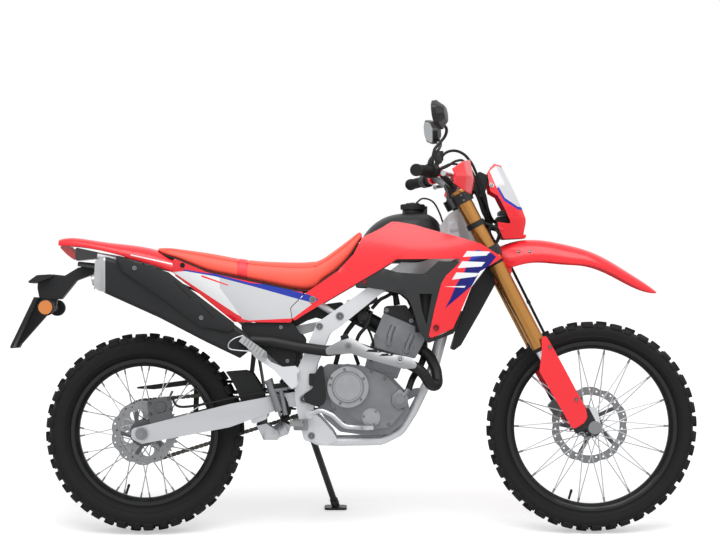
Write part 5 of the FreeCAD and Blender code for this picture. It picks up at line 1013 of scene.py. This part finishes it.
for side in (-1, 1):
    top = on_fork(side, FORK_TOP_Z / math.cos(RAKE))
    turned(bm, top, FORK_UP, [(-2, 3, 24, 32, 0.96)])
    turned(bm, top, FORK_UP, [(2, 9, 12, 6)], 2)
    turned(bm, top, FORK_UP, [(8, 11, 5, 16)], 1)
make("fork_rings", bm, [gold, black_rubber, plated_steel], "steering")
bm = bmesh.new()
axle_end = FRONT_AXLE + LEFT * SLIDER_END_Y
turned(bm, axle_end, LEFT, [(-2, 6, 14, 6)])
turned(bm, axle_end, LEFT, [(-2, 8, 8, 28)], 1)
for side in (-1, 1):
    turned(bm, FRONT_AXLE + LEFT * side * SLIDER_END_Y, LEFT * side, [(-2, 3, 21, 28)])
    for forward, up in ((34, 44), (52, 46), (18, 12), (20, -14)):
        bolt(bm, on_fork(side, AXLE_UP + up, forward, LEG_Y + 17), (0, side, 0), 5)
ring(bm, on_wheel(FRONT_AXLE, 0, 0, -SLIDER_END_Y), [(1, 22.5), (-2.5, 21.5), (-2.5, 14), (1, 14)], 40)
make("fork_foot_fittings", bm, [plated_steel, slot_shade], "steering")
bm = bmesh.new()
for side in (-1, 1):
    for forward, up in ((53, 300), (50, 110)):
        bolt(bm, on_fork(side, AXLE_UP + up, forward, LEG_Y + 35.4), (0, side, 0), 6)
make("fork_guard_bolts", bm, [plated_steel], "steering")

# Clamps, instrument and bar: black anodised clamps with pinch bolts and a steering nut, the instrument with
# its glass, and a satin bar with rubber grips, black switch blocks and bare alloy levers.
UPPER_CLAMP_Z, LOWER_CLAMP_Z = 1076, 900
BAR_END, BAR_BEND = Vector((880, 392, 1160)), Vector((958, 190, 1168))
clamp_black = finish("Black anodised clamps", "#2A2B2D", 0.34, grain=1.4, height=0.04, mottle=0.04,
                     Metallic=0.5)
instrument_line = [(1056, 1120), (1108, 1090), (1136, 1160), (1092, 1184)]
dressed("triple_clamps", [clamp_black, black_plastic], [(1, instrument_line, -70, 70)], edge=1.2)
bm = bmesh.new()
for side in (-1, 1):
    for z in (UPPER_CLAMP_Z, LOWER_CLAMP_Z):
        for offset in (-9, 9):
            bolt(bm, on_fork(side, z / math.cos(RAKE) + offset, across=LEG_Y + 33.5), (0, side, 0), 5)
    for forward in (-12, 12):
        bolt(bm, (1003 + forward, side * 45, 1151), (0, 0, 1), 5)
stem = FORK_FOOT + FORK_UP * (UPPER_CLAMP_Z / math.cos(RAKE) + 17)
turned(bm, stem, FORK_UP, [(-1, 4, 19, 28), (3, 14, 16, 6)])
make("clamp_bolts", bm, [plated_steel], "steering")
# Glass is near black with sharp reflections; rubber buttons and grips are matt, and the bar is satin grey.
display_glass = finish("Instrument glass", "#11161A", 0.06, Coat_Weight=1.0)
button_grey = finish("Grey rubber button", "#5B5D60", 0.5)
bm = bmesh.new()
face_low, face_high = Vector((1062, 0, 1120)), Vector((1092, 0, 1178))
rise = face_high - face_low
face_out = Vector((-rise.z, 0, rise.x)).normalized()
for low, high, start, end, index in ((-50, 50, 0.32, 0.86, 0), (-38, -22, 0.12, 0.22, 1),
                                     (22, 38, 0.12, 0.22, 1)):
    near, far = face_low.lerp(face_high, start), face_low.lerp(face_high, end)
    corners = [near - face_out, far - face_out, far + face_out * 1.2, near + face_out * 1.2]
    slab(bm, [(p.x, p.z) for p in corners], low, high, index, 0.5)
make("instrument_face", bm, [display_glass, button_grey], "steering")
bar_satin = finish("Satin steel bar", "#8D8F92", 0.34, Metallic=0.85, mottle=0.03)
grip_rubber = finish("Black grip rubber", "#101011", 0.62, grain=3.0, height=0.3, Specular_IOR_Level=0.3)
whole_bar = [(600, 900), (1300, 900), (1300, 1500), (600, 1500)]
dressed("handlebar", [bar_satin, grip_rubber, black_plastic], [
    (2, whole_bar, -262, -120), (2, whole_bar, 120, 262),
    (1, whole_bar, -420, -262), (1, whole_bar, 262, 420),
], smooth=40)
bm = bmesh.new()
inward = (BAR_BEND - BAR_END).normalized()
for side in (-1, 1):
    for rib in range(14):
        near, far = [BAR_END + inward * (10 + 8 * rib + step) for step in (0, 3.5)]
        bar_between(bm, (near.x, side * near.y, near.z), (far.x, side * far.y, far.z), 17.6, 24)
make("grip_ribs", bm, [grip_rubber], "steering")
bm = bmesh.new()
perch = BAR_END + inward * 180
for side in (-1, 1):
    lever = [perch + Vector((8, 0, -2)), perch + Vector((44, 2, -10)), perch + Vector((50, 60, -16)),
             perch + Vector((20, 160, -16))]
    line = smooth_line([(p.x, side * p.y, p.z) for p in lever])
    tube(bm, line[4:], 6.6, 12)
    bar_between(bm, line[-1] + Vector((0, side * 1, 0)), line[-1] - Vector((0, side * 7, 0)), 8.5, 16)
make("hand_levers", bm, [end_cap_metal], "steering")

# Mirrors, hand guards, mask and lamp: dark mirror shells round silvered glass; red moulded hand guards and
# lamp mask with a pale panel; a clear lens over a silvered reflector with a bulb's cap.
MIRROR_LINE = [(-62, -20), (-48, -36), (30, -40), (58, -22), (66, 8), (40, 34), (-30, 40), (-62, 18)]
BULB = Vector((1218, 0, 1006))
shell_black = finish("Black mirror shell", "#151617", 0.34, mottle=0.03, Specular_IOR_Level=0.4)
mirror_glass = finish("Silvered mirror glass", "#D5DADD", 0.03, Metallic=1.0)
dressed("mirrors", [shell_black], edge=0.8, smooth=50)
bm = bmesh.new()
for side in (-1, 1):
    turn = Matrix.Translation((940, side * 332, 1338))
    for degrees, axis in ((side * 12, "Z"), (-6, "Y"), (side * 14, "X")):
        turn = turn @ Matrix.Rotation(math.radians(degrees), 4, axis)
    shape = smooth_line([(0, side * 0.86 * y, 0.84 * z) for y, z in MIRROR_LINE + MIRROR_LINE[:1]], 3)[:-1]
    front, back = [[bm.verts.new(turn @ Vector((x, p.y, p.z))) for p in shape] for x in (-1.0, 0.6)]
    bm.faces.new(front)
    bm.faces.new(back)
    for i in range(len(shape)):
        bm.faces.new((front[i], front[i - 1], back[i - 1], back[i]))
make("mirror_glasses", bm, [mirror_glass], "steering")
dressed("hand_guards", [red_plastic], edge=0.8, smooth=30)
pale_panel = [(1127, 1178), (1149, 1196), (1173, 1189), (1237, 1051), (1219, 1052), (1173, 1080),
              (1149, 1122)]
panel_edge = [(1173, 1080), (1219, 1052), (1237, 1051), (1233, 1060), (1218, 1062), (1176, 1089),
              (1156, 1124), (1149, 1122)]
lamp_back = [(1092, 1164), (1113, 1175), (1128, 1111), (1160, 1085), (1178, 1050), (1195, 1008), (1145, 1012),
             (1173, 956), (1149, 980), (1050, 930), (1050, 1160)]
dressed("headlight_mask", [red_plastic, grey_film, blue_film_and_painted_highlight, black_plastic],
        [(1, pale_panel, -120, 120), (2, panel_edge, -120, 120), (3, lamp_back)], edge=1.0, smooth=30)
bolts("mask_bolts", "headlight_mask", [(1132, 1130, 5)], washer=1.6)
lens_clear = finish("Clear lens", "#E6EBEF", 0.04, Transmission_Weight=0.85, IOR=1.49, Coat_Weight=0.5)
lens_line = [(1197.5, 970), (1260, 970), (1260, 1045), (1197.5, 1045)]
dressed("headlight", [black_plastic, lens_clear], [(1, lens_line)], smooth=40)
reflector = finish("Silvered reflector", "#C8CCCF", 0.1, Metallic=1.0)
bm = bmesh.new()
for step in range(5):
    x, low, high = 1202 + 4 * step, 980 + 2 * step, 1032 - 2 * step
    slab(bm, [(x, low), (x + 2, low), (x + 2, high), (x, high)], -34 + step, 34 - step)
turned(bm, BULB, Vector((1, 0, 0)), [(0, 14, 12, 24, 0.8)], 1)
for row in range(5):
    x, z = 1239.6 - 0.18 * row, 984 + 11 * row
    slab(bm, [(x, z), (x + 1.4, z), (x + 1.4, z + 1.4), (x, z + 1.4)], -34, 34, 2)
make("headlight_reflector", bm, [reflector, black_plastic, lens_clear], "steering")

# Front fender and cables: a glossy red moulding with creases and four bolts, black under its rear flap;
# black hoses and cables with moulded clips run from the levers to the lamp and the caliper.
dressed("front_fender", [red_plastic, black_plastic], [
    (1, [(990, 570), (1040, 600), (1100, 715), (1150, 805), (1130, 872), (1066, 805), (1020, 684)], -70, 70),
], edge=0.8, smooth=50)
bm = bmesh.new()
for side in (-1, 1):
    for x in (1222, 1256):
        bolt(bm, *surface("front_fender", x, 915, side), 5)
make("front_fender_bolts", bm, [plated_steel], "steering")
dressed("control_cables", [black_rubber], smooth=50)
bm = bmesh.new()
for up, forward, across in ((455, 72, 64), (330, 70, 62), (255, 46, 62)):
    turned(bm, on_fork(1, AXLE_UP + up, forward, across), FORK_UP, [(-6, 6, 6.2, 16)])
make("hose_clips", bm, [black_plastic], "steering")
bm = bmesh.new()
for radius, points in (
        (5, [(1088, -60, 1160), (1100, -66, 1130), (1112, -70, 1096), (1120, -62, 1060), (1132, -36, 1030)]),
        (6, [(1096, 52, 1150), (1106, 62, 1120), (1114, 58, 1080), (1124, 40, 1044), (1134, 20, 1024)]),
        (7, [(1080, -50, 1120), (1096, -60, 1080), (1110, -58, 1040), (1134, -30, 1006)]),
        (6, [(1130, -56, 1004), (1126, -66, 964), (1138, -60, 938), (1156, -44, 956), (1164, -28, 990)]),
):
    hose(bm, points, radius)
make("lamp_wiring", bm, [black_rubber], "steering")

# The studio: a white floor and backdrop with a soft overhead light. The photograph's camera stands level
# with the engine, square to the machine's right side.
DISTANCE = 7.5
SHOWN_WIDTH = 2.366
SENSOR = 36
AIM = Vector((705, 0, 699))
FLOOR_GLOW = 0.46
FILL_LEVEL, BACKDROP_LEVEL = 0.62, 1.0
bm = bmesh.new()
bmesh.ops.create_grid(bm, x_segments=1, y_segments=1, size=40)
mesh = bpy.data.meshes.new("studio_floor")
bm.to_mesh(mesh)
bm.free()
floor = bpy.data.objects.new("studio_floor", mesh)
bpy.context.scene.collection.objects.link(floor)
paper = finish("White studio paper", "#E8E8E8", 0.9)
tree = paper.node_tree
seen = add(tree, "ShaderNodeLightPath").outputs["Is Camera Ray"]
tree.links.new(seen, tree.nodes["Principled BSDF"].inputs["Emission Strength"])
tree.nodes["Principled BSDF"].inputs["Emission Color"].default_value = (FLOOR_GLOW, FLOOR_GLOW, FLOOR_GLOW, 1)
mesh.materials.append(paper)

world = bpy.data.worlds.new("White studio")
bpy.context.scene.world = world
world.use_nodes = True
tree = world.node_tree
path = add(tree, "ShaderNodeLightPath")
seen = add(tree, "ShaderNodeMath", {0: path.outputs["Is Camera Ray"], 1: path.outputs["Is Glossy Ray"]},
           operation="MAXIMUM")
seen = add(tree, "ShaderNodeMath", {0: seen.outputs[0], 1: path.outputs["Is Transmission Ray"]},
           operation="MAXIMUM")
level = add(tree, "ShaderNodeMapRange", {"Value": seen.outputs[0], "To Min": FILL_LEVEL,
                                          "To Max": BACKDROP_LEVEL})
tree.links.new(level.outputs[0], tree.nodes["Background"].inputs["Strength"])
tree.nodes["Background"].inputs["Color"].default_value = (1, 1, 1, 1)

light = bpy.data.lights.new("Overhead softbox", "AREA")
light.shape = "RECTANGLE"
light.size = 4.5
light.size_y = 2.5
light.energy = 110
lamp = bpy.data.objects.new("Overhead softbox", light)
bpy.context.scene.collection.objects.link(lamp)
lamp.location = (0.2, -1.6, 3.6)
lamp.rotation_euler = (Vector((0, 0, 0.5)) - lamp.location).to_track_quat("-Z", "Y").to_euler()

camera_data = bpy.data.cameras.new("Photograph")
camera_data.sensor_width = SENSOR
camera_data.lens = SENSOR * DISTANCE / SHOWN_WIDTH
camera_data.shift_y = 48 / 720
camera_data.clip_end = 200
camera = bpy.data.objects.new("Photograph", camera_data)
bpy.context.scene.collection.objects.link(camera)
stand_point = parked @ (AIM - Vector((0, 1000 * DISTANCE, 0)))
camera.matrix_world = Matrix.Translation(stand_point) @ lean @ Matrix.Rotation(math.pi / 2, 4, "X")
bpy.context.scene.camera = camera
bpy.context.scene.view_settings.view_transform = "Standard"
